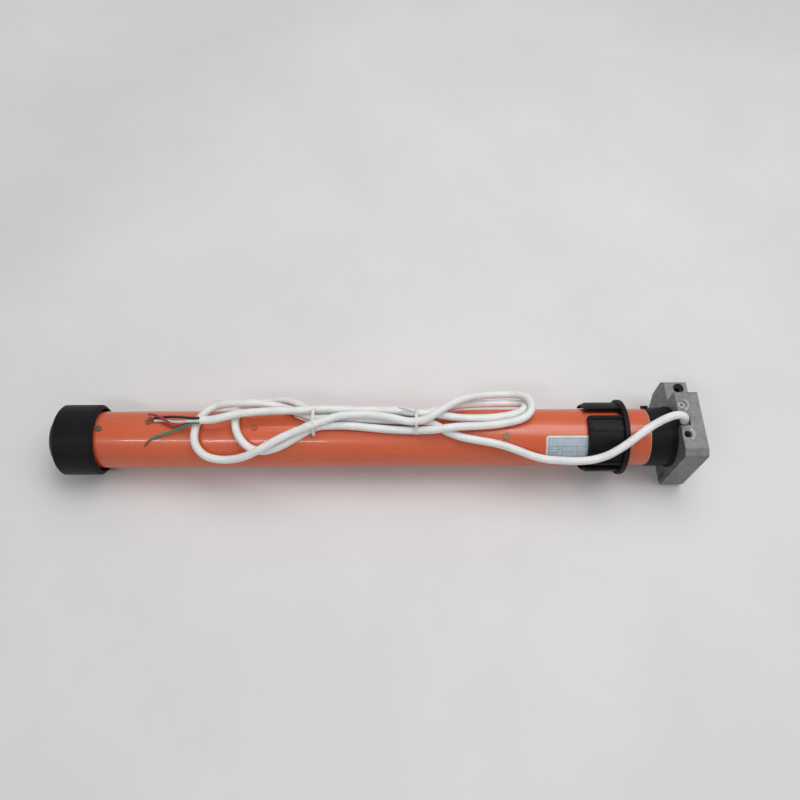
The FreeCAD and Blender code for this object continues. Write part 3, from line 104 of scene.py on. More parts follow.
LEAD = [
    (-0.01805, 90, 0.03), (-0.01805, 90, 0.039), (-0.0225, 91, 0.0505), (-0.0315, 91, 0.0552),
    (-0.043, 94.5, 0.0522), (-0.056, 102, 0.0472), (-0.069, 113.2, 0.0462), (-0.083, 126.3, 0.0464),
    (-0.098, 137.7, 0.0466), (-0.113, 144, 0.0464), (-0.128, 146, 0.0455), (-0.142, 148.5, 0.0415),
    (-0.156, 151.5, 0.0372), (-0.17, 146.5, 0.0356), (-0.187, 134.5, 0.0354), (-0.205, 124.5, 0.0352),
    (-0.224, 119, 0.035), (-0.242, 113.5, 0.0349), (-0.256, 105, 0.0348), (-0.266, 93.5, 0.0346),
    (-0.275, 86, 0.0346), (-0.284, 85, 0.0347),
]
LEFT_OUTER_LOOP = [
    (-0.297, 84.5, 0.0346), (-0.316, 82.8, 0.0344), (-0.337, 80.3, 0.0344), (-0.357, 77.8, 0.0344),
    (-0.375, 77.6, 0.0345), (-0.39, 79.8, 0.0348), (-0.403, 69.5, 0.0346), (-0.416, 57, 0.0352),
    (-0.4265, 50, 0.0365), (-0.437, 51.5, 0.039), (-0.448, 55.5, 0.0425), (-0.46, 59, 0.0442),
    (-0.472, 58, 0.0438), (-0.4835, 54.5, 0.041), (-0.4925, 52, 0.038), (-0.5, 62, 0.0366),
    (-0.506, 79, 0.0364), (-0.509, 98, 0.0364), (-0.5095, 116, 0.0364), (-0.506, 131, 0.0364),
    (-0.498, 144, 0.0362), (-0.4865, 149.5, 0.036), (-0.475, 148.5, 0.0372), (-0.463, 141.5, 0.0415),
    (-0.452, 134.5, 0.0445), (-0.438, 125, 0.0446), (-0.424, 114.5, 0.0434), (-0.409, 105.5, 0.043),
    (-0.394, 97.5, 0.0428),
]
RIGHT_OUTER_LOOP = [
    (-0.379, 89.5, 0.043), (-0.364, 82, 0.043), (-0.347, 80.2, 0.0432), (-0.328, 81.5, 0.0432),
    (-0.31, 86.5, 0.0432), (-0.293, 92.5, 0.0424), (-0.278, 91, 0.045), (-0.264, 81, 0.0488),
    (-0.25, 66.5, 0.0478), (-0.236, 52, 0.0458), (-0.22, 39.5, 0.0451), (-0.206, 32.5, 0.045),
    (-0.193, 31, 0.0452), (-0.181, 36, 0.0454), (-0.172, 48, 0.0446), (-0.1685, 66, 0.041),
    (-0.174, 78.5, 0.0378), (-0.184, 85.8, 0.036), (-0.198, 90.8, 0.0356), (-0.212, 93.8, 0.0356),
    (-0.226, 95.8, 0.0368), (-0.239, 97.8, 0.0405), (-0.251, 100.2, 0.0438), (-0.263, 102.8, 0.0442),
    (-0.2755, 103.3, 0.0402), (-0.287, 101.8, 0.0352),
]
LEFT_INNER_LOOP = [
    (-0.306, 100.8, 0.0344), (-0.328, 97.5, 0.0344), (-0.35, 93.2, 0.0344), (-0.371, 91.8, 0.0344),
    (-0.3885, 94.2, 0.0346), (-0.403, 108, 0.0348), (-0.415, 120, 0.0351), (-0.427, 129.5, 0.0354),
    (-0.4395, 135.3, 0.0355), (-0.452, 132, 0.0354), (-0.461, 120.5, 0.0353), (-0.467, 105, 0.0353),
    (-0.4695, 89, 0.0353), (-0.4697, 73, 0.0353), (-0.4665, 57, 0.0353), (-0.459, 38, 0.0356),
    (-0.4475, 25.5, 0.0375), (-0.435, 19.5, 0.0402), (-0.422, 27, 0.0396), (-0.4105, 42, 0.0385),
    (-0.4, 56, 0.036), (-0.3885, 65.5, 0.0348),
]
RIGHT_INNER_LOOP = [
    (-0.37, 60.5, 0.0343), (-0.348, 58.3, 0.0344), (-0.326, 60.3, 0.0344), (-0.305, 67.5, 0.0344),
    (-0.287, 70.5, 0.0348), (-0.273, 64, 0.0347), (-0.259, 54.5, 0.0351), (-0.244, 43.5, 0.0354),
    (-0.228, 34, 0.0355), (-0.211, 28.8, 0.0356), (-0.196, 26.8, 0.0356), (-0.184, 28.5, 0.0358),
    (-0.1755, 40, 0.0361), (-0.1745, 56, 0.036), (-0.1815, 68.5, 0.0356), (-0.194, 76, 0.0352),
    (-0.211, 79.6, 0.035), (-0.23, 80.6, 0.0349), (-0.246, 79.5, 0.0354), (-0.26, 77, 0.0376),
    (-0.274, 77, 0.041), (-0.288, 78, 0.0421),
]
FREE_END = [
    (-0.304, 73, 0.0427), (-0.323, 70.8, 0.0411), (-0.345, 69.3, 0.0403), (-0.366, 68.2, 0.041),
    (-0.387, 70, 0.0427), (-0.402, 74, 0.0435), (-0.416, 75, 0.0443), (-0.432, 75, 0.044),
    (-0.448, 76.5, 0.0442), (-0.463, 80, 0.045), (-0.477, 84.5, 0.0454), (-0.4865, 88.5, 0.0456),
    (-0.494, 89.8, 0.0458), (-0.5015, 90, 0.0458),
]
CABLE = (
    LEAD
    + LEFT_OUTER_LOOP
    + RIGHT_OUTER_LOOP
    + LEFT_INNER_LOOP
    + RIGHT_INNER_LOOP
    + FREE_END
)

# Cores: the insulated route, its length, and where the bare strands end
CORES = {
    "core_black": (
        [
            (-0.5012, 88.2, 0.0473), (-0.511, 88.2, 0.0472), (-0.52, 83.6, 0.0432),
            (-0.53, 78.6, 0.0388), (-0.54, 74, 0.035), (-0.548, 71.6, 0.0328), (-0.5535, 72, 0.0318),
        ],
        0.0563,
        [(-0.5575, 73.5, 0.0313), (-0.5625, 78.5, 0.0305)],
    ),
    "core_white": (
        [
            (-0.5012, 91.8, 0.0473), (-0.5115, 91.8, 0.0472), (-0.5205, 90, 0.042),
            (-0.53, 86.6, 0.0374), (-0.5385, 81.6, 0.0344), (-0.546, 78, 0.0322), (-0.5525, 77.6, 0.0312),
        ],
        0.0552,
        [(-0.5565, 79, 0.0308), (-0.561, 83.5, 0.0303)],
    ),
    "core_red": (
        [
            (-0.5012, 88, 0.0443), (-0.5095, 88, 0.0442), (-0.518, 92.4, 0.039), (-0.527, 92.6, 0.0352),
            (-0.5345, 88.4, 0.0362), (-0.541, 81.6, 0.0374), (-0.5475, 74.6, 0.0366),
            (-0.5535, 69.2, 0.0352),
        ],
        0.0585,
        [(-0.5565, 66.5, 0.0345), (-0.56, 64.5, 0.0335)],
    ),
    "core_green": (
        [
            (-0.5012, 92, 0.0443), (-0.5095, 92, 0.0442), (-0.519, 96, 0.04), (-0.528, 99.8, 0.036),
            (-0.538, 104, 0.0334), (-0.547, 108.8, 0.0325), (-0.5535, 113.6, 0.0319),
        ],
        0.056,
        [(-0.5575, 119, 0.0313), (-0.5605, 127, 0.0304)],
    ),
}


def link(name, data, body=CASE):
    """A new piece that rides on a body."""
    piece = bpy.data.objects.new(name, data)
    bpy.context.scene.collection.objects.link(piece)
    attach(piece, body)
    return piece


def link_mesh(name, mesh):
    """A new piece from an edited mesh, which is freed."""
    data = bpy.data.meshes.new(name)
    mesh.to_mesh(data)
    mesh.free()
    return link(name, data)


CURVE_STEPS = 10
SPLINE_ORDER = 3
CORD_ROUNDNESS = 6
STRAND_ROUNDNESS = 2
TIE_ROUNDNESS = 3


def new_curve(name, roundness):
    """A round wire. Its thickness is on the points, because the box of a curve counts their radius."""
    curve = bpy.data.curves.new(name, "CURVE")
    curve.dimensions = "3D"
    curve.bevel_depth = 1
    curve.bevel_resolution = roundness
    curve.resolution_u = CURVE_STEPS
    curve.use_fill_caps = True
    return curve


def add_spline(curve, points, radius):
    """One smooth line whose control points are the given ones."""
    spline = curve.splines.new("NURBS")
    spline.points.add(len(points) - 1)
    for control, point in zip(spline.points, points):
        control.co = (*point, 1)
        control.radius = radius
    spline.order_u = SPLINE_ORDER
    spline.use_endpoint_u = True


def route_points(route):
    return [around(angle, radius, along) for along, angle, radius in route]


def smooth_cord(name, route, diameter):
    """A round cord along a route."""
    curve = new_curve(name, CORD_ROUNDNESS)
    add_spline(curve, route_points(route), diameter / 2)
    return link(name, curve)


# Bare copper strands out of each core: a middle one and a ring that fans out at the tip

STRAND_RADIUS = 0.3 * MM
STRANDS_AROUND = 6
STRAND_ROOT = 1.5 * MM
STRAND_TURN = 0.5
TIGHT_POINTS = 3
FAN = 2.1
FAN_LEAST = 0.6
FAN_STEP = 0.25
CUT_BACK = 0.12


def side_vectors(axis):
    """Two directions square to an axis and to each other."""
    first = axis.orthogonal().normalized()
    return first, axis.cross(first).normalized()


def bare_strands(name, route, tip):
    """Twisted strands from the end of the insulation to the tip."""
    line = [route[-1]] + tip
    middle = route_points(line)
    axis = (middle[-1] - middle[0]).normalized()
    first, second = side_vectors(axis)
    curve = new_curve(name, STRAND_ROUNDNESS)
    centres = [middle[0] - axis * STRAND_ROOT] + middle
    add_spline(curve, centres, STRAND_RADIUS)
    for number in range(STRANDS_AROUND):
        points = []
        widest = FAN * (FAN_LEAST + FAN_STEP * (number % 3))
        for step, point in enumerate(centres):
            turn = math.tau * number / STRANDS_AROUND + STRAND_TURN * step
            spread = 2 * STRAND_RADIUS * (1 if step < TIGHT_POINTS else widest)
            points.append(point + spread * (math.cos(turn) * first + math.sin(turn) * second))
        shortened = points[-1].lerp(points[-2], CUT_BACK * (number % 4))
        add_spline(curve, points[:-1] + [shortened], STRAND_RADIUS)
    return link(name, curve)


# Ends of the two ties: wires twisted together, then two cut tails

TIE_WIRE = 0.55 * MM
TIE_TWISTS = {
    "left": (
        [(-0.3886, 91.9, 0.0468), (-0.3923, 91.2, 0.0445), (-0.3962, 90, 0.0412)],
        [(-0.4028, 83.9, 0.0385), (-0.4098, 76.8, 0.0368)],
        [(-0.4002, 93.5, 0.0405), (-0.4041, 96.7, 0.0378)],
    ),
    "right": (
        [(-0.288, 80.5, 0.0469), (-0.2915, 79.5, 0.0472), (-0.295, 78, 0.0473)],
        [(-0.2995, 75.9, 0.0474), (-0.3053, 73.2, 0.0469)],
        [(-0.2995, 79, 0.0474), (-0.3043, 80.6, 0.047)],
    ),
}
TWIST_STEPS = 12
TWIST_TURNS = 2.5


def tie_ends(name, twist, *tails):
    """Two wires that wind round a bent line and part into their tails."""
    line = route_points(twist)
    curve = new_curve(name, TIE_ROUNDNESS)
    axis = (line[-1] - line[0]).normalized()
    first, second = side_vectors(axis)
    for half, tail in enumerate(tails):
        points = []
        for step in range(TWIST_STEPS):
            share = step / (TWIST_STEPS - 1)
            centre = line[0].lerp(line[1], share).lerp(line[1].lerp(line[2], share), share)
            turn = math.tau * TWIST_TURNS * share + math.pi * half
            points.append(centre + TIE_WIRE * (math.cos(turn) * first + math.sin(turn) * second))
        add_spline(curve, points + route_points(tail), TIE_WIRE)
    return link(name, curve)


tie_pieces = [tie_ends(f"tie_ends_{side}", *lines) for side, lines in TIE_TWISTS.items()]

cable = smooth_cord("cable", CABLE, CABLE_DIAMETER)
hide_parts("cable_lead", "cable_hank")
cores = {}
strands = []
for core_name, (route, length, tip) in CORES.items():
    core = smooth_cord(core_name + "_wire", route, CORE_DIAMETER)
    copper = bare_strands(core_name + "_strands", route, tip)
    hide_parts(core_name)
    cores[core_name] = core
    strands.append(copper)

# Bare label: a curved plate with plain fields and ruled lines, part of it under the crown

LABEL_LEFT = -156 * MM
LABEL_RIGHT = -104 * MM
LABEL_TOP = 111.4
LABEL_BOTTOM = 168
LABEL_CORNER = 2.6 * MM
LABEL_BORDER = 1.7 * MM
FOIL = 0.12 * MM
PRINT_STEP = 0.03 * MM
FIELD_HEIGHT = FOIL + PRINT_STEP
RULE_HEIGHT = FOIL + 2 * PRINT_STEP
RULE = 0.3 * MM
FRAME_GAP_ALONG = 1.2 * MM
FRAME_GAP_AROUND = 1.1 * MM
HEADER = 9.4 * MM
COLUMNS = (10.5 * MM, 15 * MM, 30 * MM)
ROW = 3.1 * MM
ROW_RULES = 4
PATCH_COLUMNS = 24
PATCH_ROWS = 20
WHITE_FOIL, PALE_FIELD, GREY_RULE = range(3)


def angle_of(length):
    """The angle that a length takes up around the tube."""
    return math.degrees(length / TUBE_RADIUS)


def corner_inset(distance, corner):
    """How far a rounded corner draws the edge in, at a distance from the end."""
    if distance >= corner:
        return 0.0
    return corner - math.sqrt(corner**2 - (corner - distance) ** 2)


def curved_patch(mesh, left, right, top, bottom, height, corner, finish):
    """A rounded patch on the tube: ends along X, angles, height over the paint."""
    radius = TUBE_RADIUS + height
    length = right - left
    stations = []
    for column in range(PATCH_COLUMNS + 1):
        share = column / PATCH_COLUMNS
        stations.append(length * (1 - math.cos(math.pi * share)) / 2)
    grid = []
    for station in stations:
        inset = math.degrees(corner_inset(min(station, length - station), corner) / radius)
        low, high = top + inset, bottom - inset
        angles = [low + (high - low) * row / PATCH_ROWS for row in range(PATCH_ROWS + 1)]
        grid.append([mesh.verts.new(around(angle, radius, left + station)) for angle in angles])
    for here, there in zip(grid, grid[1:]):
        for row in range(PATCH_ROWS):
            face = mesh.faces.new((here[row], here[row + 1], there[row + 1], there[row]))
            face.material_index = finish
            face.smooth = True


def add_label():
    """The foil, a field on it, and a frame with a header line, columns and rows on that."""
    mesh = bmesh.new()
    border = angle_of(LABEL_BORDER)
    left, right = LABEL_LEFT + LABEL_BORDER, LABEL_RIGHT - LABEL_BORDER
    top, bottom = LABEL_TOP + border, LABEL_BOTTOM - border

    def rule_along(start, end, angle):
        half = angle_of(RULE) / 2
        curved_patch(mesh, start, end, angle - half, angle + half, RULE_HEIGHT, 0, GREY_RULE)

    def rule_across(place, start, end):
        half = RULE / 2
        curved_patch(mesh, place - half, place + half, start, end, RULE_HEIGHT, 0, GREY_RULE)

    curved_patch(
        mesh, LABEL_LEFT, LABEL_RIGHT, LABEL_TOP, LABEL_BOTTOM, FOIL, LABEL_CORNER, WHITE_FOIL
    )
    field_corner = LABEL_CORNER - LABEL_BORDER
    curved_patch(mesh, left, right, top, bottom, FIELD_HEIGHT, field_corner, PALE_FIELD)
    frame_left, frame_right = left + FRAME_GAP_ALONG, right - FRAME_GAP_ALONG
    frame_gap = angle_of(FRAME_GAP_AROUND)
    frame_top, frame_bottom = top + frame_gap, bottom - frame_gap
    header = top + angle_of(HEADER)
    for angle in (frame_top, frame_bottom):
        rule_along(frame_left, frame_right, angle)
    for place in (frame_left, frame_right):
        rule_across(place, frame_top, frame_bottom)
    rule_along(frame_left, frame_right, header)
    columns = [left + column for column in COLUMNS]
    for place in columns:
        rule_across(place, header, frame_bottom)
    for number in range(1, ROW_RULES + 1):
        angle = header + number * angle_of(ROW)
        rule_along(frame_left, columns[0], angle)
        if number % 2 == 0:
            rule_along(columns[1], frame_right, angle)
    label = link_mesh("rating_label", mesh)
    thicken = label.modifiers.new("foil", "SOLIDIFY")
    thicken.thickness = FOIL * 0.8
    thicken.offset = -1
    return label


label = add_label()

# Cast turning marks beside the adjusters

MARK_HEIGHT = 0.5 * MM
MARK_RADIUS = 6.3 * MM
MARK_WIDTH = 1.4 * MM
MARK_STEPS = 14
MARK_EDGE = 0.12 * MM
ARROW_HALF = 1.5 * MARK_WIDTH
ARROW_LENGTH = 2.4 * MARK_WIDTH
NEAR_MARK = (-62, 40)
FAR_MARK = (55, -48)


def cast_mark(mesh, centre, start, end):
    """A raised arc round an adjuster that ends in an arrow head."""
    top = HEAD_TOP + MARK_HEIGHT
    low = HEAD_TOP - MARK_HEIGHT
    outer = []
    inner = []
    for step in range(MARK_STEPS + 1):
        turn = math.radians(start + (end - start) * step / MARK_STEPS)
        direction = Vector((math.cos(turn), math.sin(turn), 0))
        outer.append(centre + direction * (MARK_RADIUS + MARK_WIDTH / 2))
        inner.append(centre + direction * (MARK_RADIUS - MARK_WIDTH / 2))
    last = math.radians(end)
    out = Vector((math.cos(last), math.sin(last), 0))
    forward = Vector((-out.y, out.x, 0)) * math.copysign(1, end - start)
    head_middle = centre + out * MARK_RADIUS
    head = [
        head_middle + out * ARROW_HALF,
        head_middle + forward * ARROW_LENGTH,
        head_middle - out * ARROW_HALF,
    ]
    loop = outer + head + inner[::-1]
    upper = [mesh.verts.new((point.x, point.y, top)) for point in loop]
    lower = [mesh.verts.new((point.x, point.y, low)) for point in loop]
    mesh.faces.new(upper)
    mesh.faces.new(lower[::-1])
    for number in range(len(loop)):
        after = (number + 1) % len(loop)
        mesh.faces.new((upper[number], lower[number], lower[after], upper[after]))


def add_cast_marks():
    mesh = bmesh.new()
    near, far = (Vector((ADJUSTER_X, place, 0)) for place in ADJUSTER_PLACES)
    cast_mark(mesh, far, *FAR_MARK)
    cast_mark(mesh, near, *NEAR_MARK)
    bmesh.ops.recalc_face_normals(mesh, faces=mesh.faces)
    marks = link_mesh("cast_marks", mesh)
    soften = marks.modifiers.new("soft_edges", "BEVEL")
    soften.width = MARK_EDGE
    soften.segments = 2
    return marks


marks = add_cast_marks()

# Materials


class Finish:
    """A node tree around one shader, with short calls for the nodes that the finishes share."""

    def __init__(self, name, colour, roughness, metallic=0.0, **sockets):
        self.material = bpy.data.materials.new(name)
        self.material.use_nodes = True
        self.material.diffuse_color = (*colour, 1)
        self.tree = self.material.node_tree
        self.shader = self.tree.nodes["Principled BSDF"]
        self.shader.inputs["Base Color"].default_value = (*colour, 1)
        self.shader.inputs["Roughness"].default_value = roughness
        self.shader.inputs["Metallic"].default_value = metallic
        for socket, value in sockets.items():
            self.shader.inputs[socket.replace("_", " ")].default_value = value
        self.place = self.node("ShaderNodeTexCoord").outputs["Object"]
        self.relief = None

    def node(self, kind, **settings):
        node = self.tree.nodes.new(kind)
        for setting, value in settings.items():
            setattr(node, setting, value)
        return node

    def join(self, source, target):
        self.tree.links.new(source, target)

    def noise(self, scale, detail=3.0, stretch=None, roughness=0.5):
        """Noise with a number of lumps per metre, stretched by a factor on each axis if given."""
        noise = self.node("ShaderNodeTexNoise")
        noise.inputs["Scale"].default_value = scale
        noise.inputs["Detail"].default_value = detail
        noise.inputs["Roughness"].default_value = roughness
        place = self.place
        if stretch is not None:
            mapping = self.node("ShaderNodeMapping")
            mapping.inputs["Scale"].default_value = stretch
            self.join(place, mapping.inputs["Vector"])
            place = mapping.outputs["Vector"]
        self.join(place, noise.inputs["Vector"])
        return noise.outputs["Fac"]

    def along(self, axis):
        """The place along one axis of the object, in metres."""
        parts = self.node("ShaderNodeSeparateXYZ")
        self.join(self.place, parts.inputs["Vector"])
        return parts.outputs[axis]

    def distance(self, source, place):
        """How far a value is from a given one."""
        less = self.node("ShaderNodeMath", operation="SUBTRACT")
        less.inputs[1].default_value = place
        self.join(source, less.inputs[0])
        size = self.node("ShaderNodeMath", operation="ABSOLUTE")
        self.join(less.outputs["Value"], size.inputs[0])
        return size.outputs["Value"]

    def spread(self, source, low, high, new_low=0.0, new_high=1.0):
        """The stretch from low to high of a value, spread over a new one."""
        node = self.node("ShaderNodeMapRange")
        node.inputs["From Min"].default_value = low
        node.inputs["From Max"].default_value = high
        node.inputs["To Min"].default_value = new_low
        node.inputs["To Max"].default_value = new_high
        self.join(source, node.inputs["Value"])
        return node.outputs["Result"]

    def colours(self, source, *stops):
        """Colours along a value: each stop is a place from 0 to 1 and a colour."""
        ramp = self.node("ShaderNodeValToRGB")
        elements = ramp.color_ramp.elements
        while len(elements) < len(stops):
            elements.new(0.5)
        for element, (place, colour) in zip(elements, stops):
            element.position = place
            element.color = (*colour, 1)
        self.join(source, ramp.inputs["Fac"])
        return ramp.outputs["Color"]

    def mix(self, share, first, second):
        mix = self.node("ShaderNodeMix", data_type="RGBA")
        self.join(share, mix.inputs["Factor"])
        self.join(first, mix.inputs["A"])
        if isinstance(second, tuple):
            mix.inputs["B"].default_value = (*second, 1)
        else:
            self.join(second, mix.inputs["B"])
        return mix.outputs["Result"]

    def base(self, colour):
        self.join(colour, self.shader.inputs["Base Color"])

    def rough(self, value):
        self.join(value, self.shader.inputs["Roughness"])

    def bump(self, height, depth):
        """Relief of a real depth, over any relief given before."""
        bump = self.node("ShaderNodeBump")
        bump.inputs["Distance"].default_value = depth
        self.join(height, bump.inputs["Height"])
        if self.relief:
            self.join(self.relief, bump.inputs["Normal"])
        self.relief = bump.outputs["Normal"]
        self.join(self.relief, self.shader.inputs["Normal"])


# The tube's bare ends, and the screw under the tied cable, which is painted over
BARE_EDGE = 0.7 * MM
BARE_EDGE_START = 0.8 * BARE_EDGE
BARE_ZINC = (0.50, 0.42, 0.22)
PAINTED_SCREW_X = -450.9 * MM
PAINTED_NEAR = 5 * MM
PAINTED_FAR = 6 * MM


def orange_paint():
    """Powder coat: a slight orange peel, cloudy shade, faint rubs along the tube, bare cut ends."""
    finish = Finish("orange_paint", (0.63, 0.097, 0.024), 0.36, Coat_Weight=0.3, Coat_Roughness=0.06)
    cloud = finish.noise(9, 2)
    shade = finish.colours(cloud, (0.3, (0.61, 0.100, 0.034)), (0.7, (0.69, 0.128, 0.044)))
    rub = finish.spread(finish.noise(60, 4, (0.25, 3, 3)), 0.62, 0.8, 0, 0.25)
    worn = finish.mix(rub, shade, (0.72, 0.24, 0.12))
    along = finish.along("X")
    right_end = finish.spread(along, TUBE_RIGHT - BARE_EDGE, TUBE_RIGHT - BARE_EDGE_START)
    left_end = finish.spread(along, TUBE_LEFT + BARE_EDGE, TUBE_LEFT + BARE_EDGE_START)
    finish.base(finish.mix(right_end, finish.mix(left_end, worn, BARE_ZINC), BARE_ZINC))
    finish.rough(finish.spread(finish.noise(120, 4, (0.3, 2, 2)), 0.3, 0.7, 0.26, 0.38))
    finish.bump(finish.noise(700, 2), 0.02 * MM)
    finish.bump(finish.noise(25, 2), 0.1 * MM)
    return finish.material


def black_plastic():
    """Moulded black plastic with a fine grain and dull handled patches."""
    finish = Finish("black_plastic", (0.006, 0.006, 0.007), 0.5, Specular_IOR_Level=0.16)
    patch = finish.noise(45, 4)
    finish.base(finish.colours(patch, (0.35, (0.004, 0.004, 0.0048)), (0.75, (0.009, 0.009, 0.0105))))
    finish.rough(finish.spread(patch, 0.3, 0.7, 0.42, 0.6))
    finish.bump(finish.noise(2200, 2), 0.015 * MM)
    finish.bump(finish.noise(160, 3), 0.04 * MM)
    return finish.material


def cast_alloy(name="cast_alloy", lighter=1.0):
    """Die-cast grey alloy: mottled, pitted and lightly blasted."""
    finish = Finish(name, (0.2, 0.195, 0.19), 0.5, 0.35)
    mottle = finish.noise(140, 6, roughness=0.65)
    tones = ((0.28, 0.11), (0.5, 0.195), (0.75, 0.29))
    stops = [(place, tuple(lighter * tone * part for part in (1, 0.98, 0.97))) for place, tone in tones]
    finish.base(finish.colours(mottle, *stops))
    finish.rough(finish.spread(mottle, 0.3, 0.7, 0.42, 0.6))
    finish.bump(finish.noise(900, 4, roughness=0.6), 0.11 * MM)
    finish.bump(finish.noise(160, 3), 0.22 * MM)
    return finish.material


def turned_steel(name, colour, roughness, painted=None):
    """Turned or plated steel with fine rings and light stains, painted over within a stretch along X."""
    finish = Finish(name, colour, roughness, 1.0)
    stain = finish.noise(90, 4)
    dark = tuple(0.72 * part for part in colour)
    shade = finish.colours(stain, (0.3, dark), (0.65, colour))
    if painted:
        away = finish.distance(finish.along("X"), painted)
        beside = finish.spread(away, PAINTED_NEAR, PAINTED_FAR)
        finish.join(beside, finish.shader.inputs["Metallic"])
        paint = finish.colours(stain, (0.3, (0.40, 0.085, 0.03)), (0.65, (0.50, 0.10, 0.035)))
        shade = finish.mix(beside, paint, shade)
    finish.base(shade)
    finish.rough(finish.spread(stain, 0.3, 0.7, roughness - 0.08, roughness + 0.12))
    finish.bump(finish.noise(1500, 2, (6, 0.6, 0.6)), 0.012 * MM)
    return finish.material


def cable_sheath():
    """Soft white sheath with faint handling marks and a slight lay underneath."""
    finish = Finish(
        "cable_sheath", (0.76, 0.77, 0.755), 0.4, Subsurface_Weight=0.12, Subsurface_Scale=1.2 * MM
    )
    marks = finish.noise(70, 4)
    finish.base(finish.colours(marks, (0.3, (0.76, 0.77, 0.76)), (0.6, (0.84, 0.85, 0.835))))
    finish.rough(finish.spread(marks, 0.3, 0.7, 0.34, 0.48))
    finish.bump(finish.noise(190, 2), 0.12 * MM)
    finish.bump(finish.noise(1600, 2), 0.015 * MM)
    return finish.material


def soft_plastic(name, colour, roughness=0.45, depth=0.02 * MM):
    """Plain plastic, rubber or insulation with slight shade and surface changes."""
    finish = Finish(name, colour, roughness)
    shade = finish.noise(220, 3)
    dark = tuple(0.8 * part for part in colour)
    finish.base(finish.colours(shade, (0.3, dark), (0.65, colour)))
    finish.rough(finish.spread(shade, 0.3, 0.7, roughness - 0.08, roughness + 0.1))
    finish.bump(finish.noise(1100, 2), depth)
    return finish.material


# Far from the motor the floor's glow takes over, so its edge doesn't show
BACKDROP = (0.56, 0.56, 0.565)
GLOW_START = 0.9
GLOW_END = 2.6
GLOW = 0.75


def floor_paper():
    """Pale sheet with faint creases and smudges; far from the motor it has a painted glow towards the
    backdrop's colour, which only the camera sees.
    """
    finish = Finish("floor_paper", (0.76, 0.755, 0.75), 0.7)
    smudge = finish.noise(5, 5)
    finish.base(finish.colours(smudge, (0.3, (0.73, 0.725, 0.72)), (0.7, (0.79, 0.785, 0.78))))
    finish.bump(finish.noise(14, 4), 0.8 * MM)
    # Painted glow: emission in the backdrop's colour that grows with distance from the motor, for camera
    # rays only
    reach = finish.node("ShaderNodeVectorMath", operation="LENGTH")
    finish.join(finish.place, reach.inputs[0])
    painted_glow = finish.spread(reach.outputs["Value"], GLOW_START, GLOW_END, 0, GLOW)
    seen = finish.node("ShaderNodeMath", operation="MULTIPLY")
    finish.join(painted_glow, seen.inputs[0])
    finish.join(finish.node("ShaderNodeLightPath").outputs["Is Camera Ray"], seen.inputs[1])
    finish.join(seen.outputs["Value"], finish.shader.inputs["Emission Strength"])
    finish.shader.inputs["Emission Color"].default_value = (*BACKDROP, 1)
    return finish.material


FINISHES = {
    "tube_paint": orange_paint(),
    "black_plastic": black_plastic(),
    "cast_alloy": cast_alloy(),
    "steel": turned_steel("steel", (0.56, 0.56, 0.57), 0.3),
    "screw_steel": turned_steel("screw_steel", (0.21, 0.185, 0.12), 0.36, painted=PAINTED_SCREW_X),
    "laminations": turned_steel("laminations", (0.24, 0.24, 0.26), 0.45),
    "copper": turned_steel("copper", (0.78, 0.40, 0.20), 0.3),
    "bronze": turned_steel("bronze", (0.66, 0.48, 0.26), 0.38),
    "capacitor_can": turned_steel("capacitor_can", (0.78, 0.78, 0.80), 0.28),
    "grey_plastic": soft_plastic("grey_plastic", (0.20, 0.21, 0.22)),
    "nylon": soft_plastic("nylon", (0.62, 0.60, 0.54), 0.4),
    "gland_rubber": soft_plastic("gland_rubber", (0.012, 0.012, 0.012), 0.6),
    "cable_sheath": cable_sheath(),
    "tie_nylon": soft_plastic("tie_nylon", (0.74, 0.75, 0.75), 0.3),
    "insulation_black": soft_plastic("insulation_black", (0.01, 0.01, 0.011), 0.35),
    "insulation_white": soft_plastic("insulation_white", (0.74, 0.72, 0.71), 0.35),
    "insulation_red": soft_plastic("insulation_red", (0.42, 0.03, 0.06), 0.35),
    "insulation_green": soft_plastic("insulation_green", (0.045, 0.24, 0.13), 0.35),
}
# Dark steel: the crank worm's own finish, and also painted shade on the near limit screw
DARK_AND_SHADED_STEEL = turned_steel("dark_and_shaded_steel", (0.06, 0.058, 0.055), 0.42)
STRAND_COPPER = turned_steel("strand_copper", (0.42, 0.22, 0.09), 0.36)
CAST_MARK = cast_alloy("cast_mark", 2.0)
LABEL_FINISHES = [
    soft_plastic("label_foil", (0.74, 0.75, 0.76), 0.32, 0.004 * MM),
    soft_plastic("label_field", (0.50, 0.57, 0.64), 0.34, 0.004 * MM),
    soft_plastic("label_rule", (0.11, 0.13, 0.16), 0.4, 0.004 * MM),
]


def finish_with(piece, material):
    piece.data.materials.clear()
    piece.data.materials.append(material)


for part in frame["record"]["subparts"]:
    finish_with(frame["nodes"][part["node"]], FINISHES[part["material_slot"]])
finish_with(frame["nodes"]["crank_worm"], DARK_AND_SHADED_STEEL)
# Painted shade: the near limit screw gets dark steel because it lies in shade deep in its recess
finish_with(frame["nodes"]["limit_screw_up"], DARK_AND_SHADED_STEEL)
finish_with(cable, FINISHES["cable_sheath"])
for core_name, core in cores.items():
    finish_with(core, FINISHES[core_name.replace("core", "insulation")])
for copper in strands:
    finish_with(copper, STRAND_COPPER)
for piece in tie_pieces:
    finish_with(piece, FINISHES["tie_nylon"])
finish_with(marks, CAST_MARK)
for finish in LABEL_FINISHES:
    label.data.materials.append(finish)

# Floor, light and world: the motor lies on its wheel and on its taller head

FLOOR_GAP = 0.3 * MM
WHEEL_MIDDLE = -633 * MM
WHEEL_RADIUS = 36.5 * MM
FLOOR_HALF = 3.0
WORLD_LIGHT = 0.29
WORLD_COLOUR = (0.97, 0.98, 1.0)
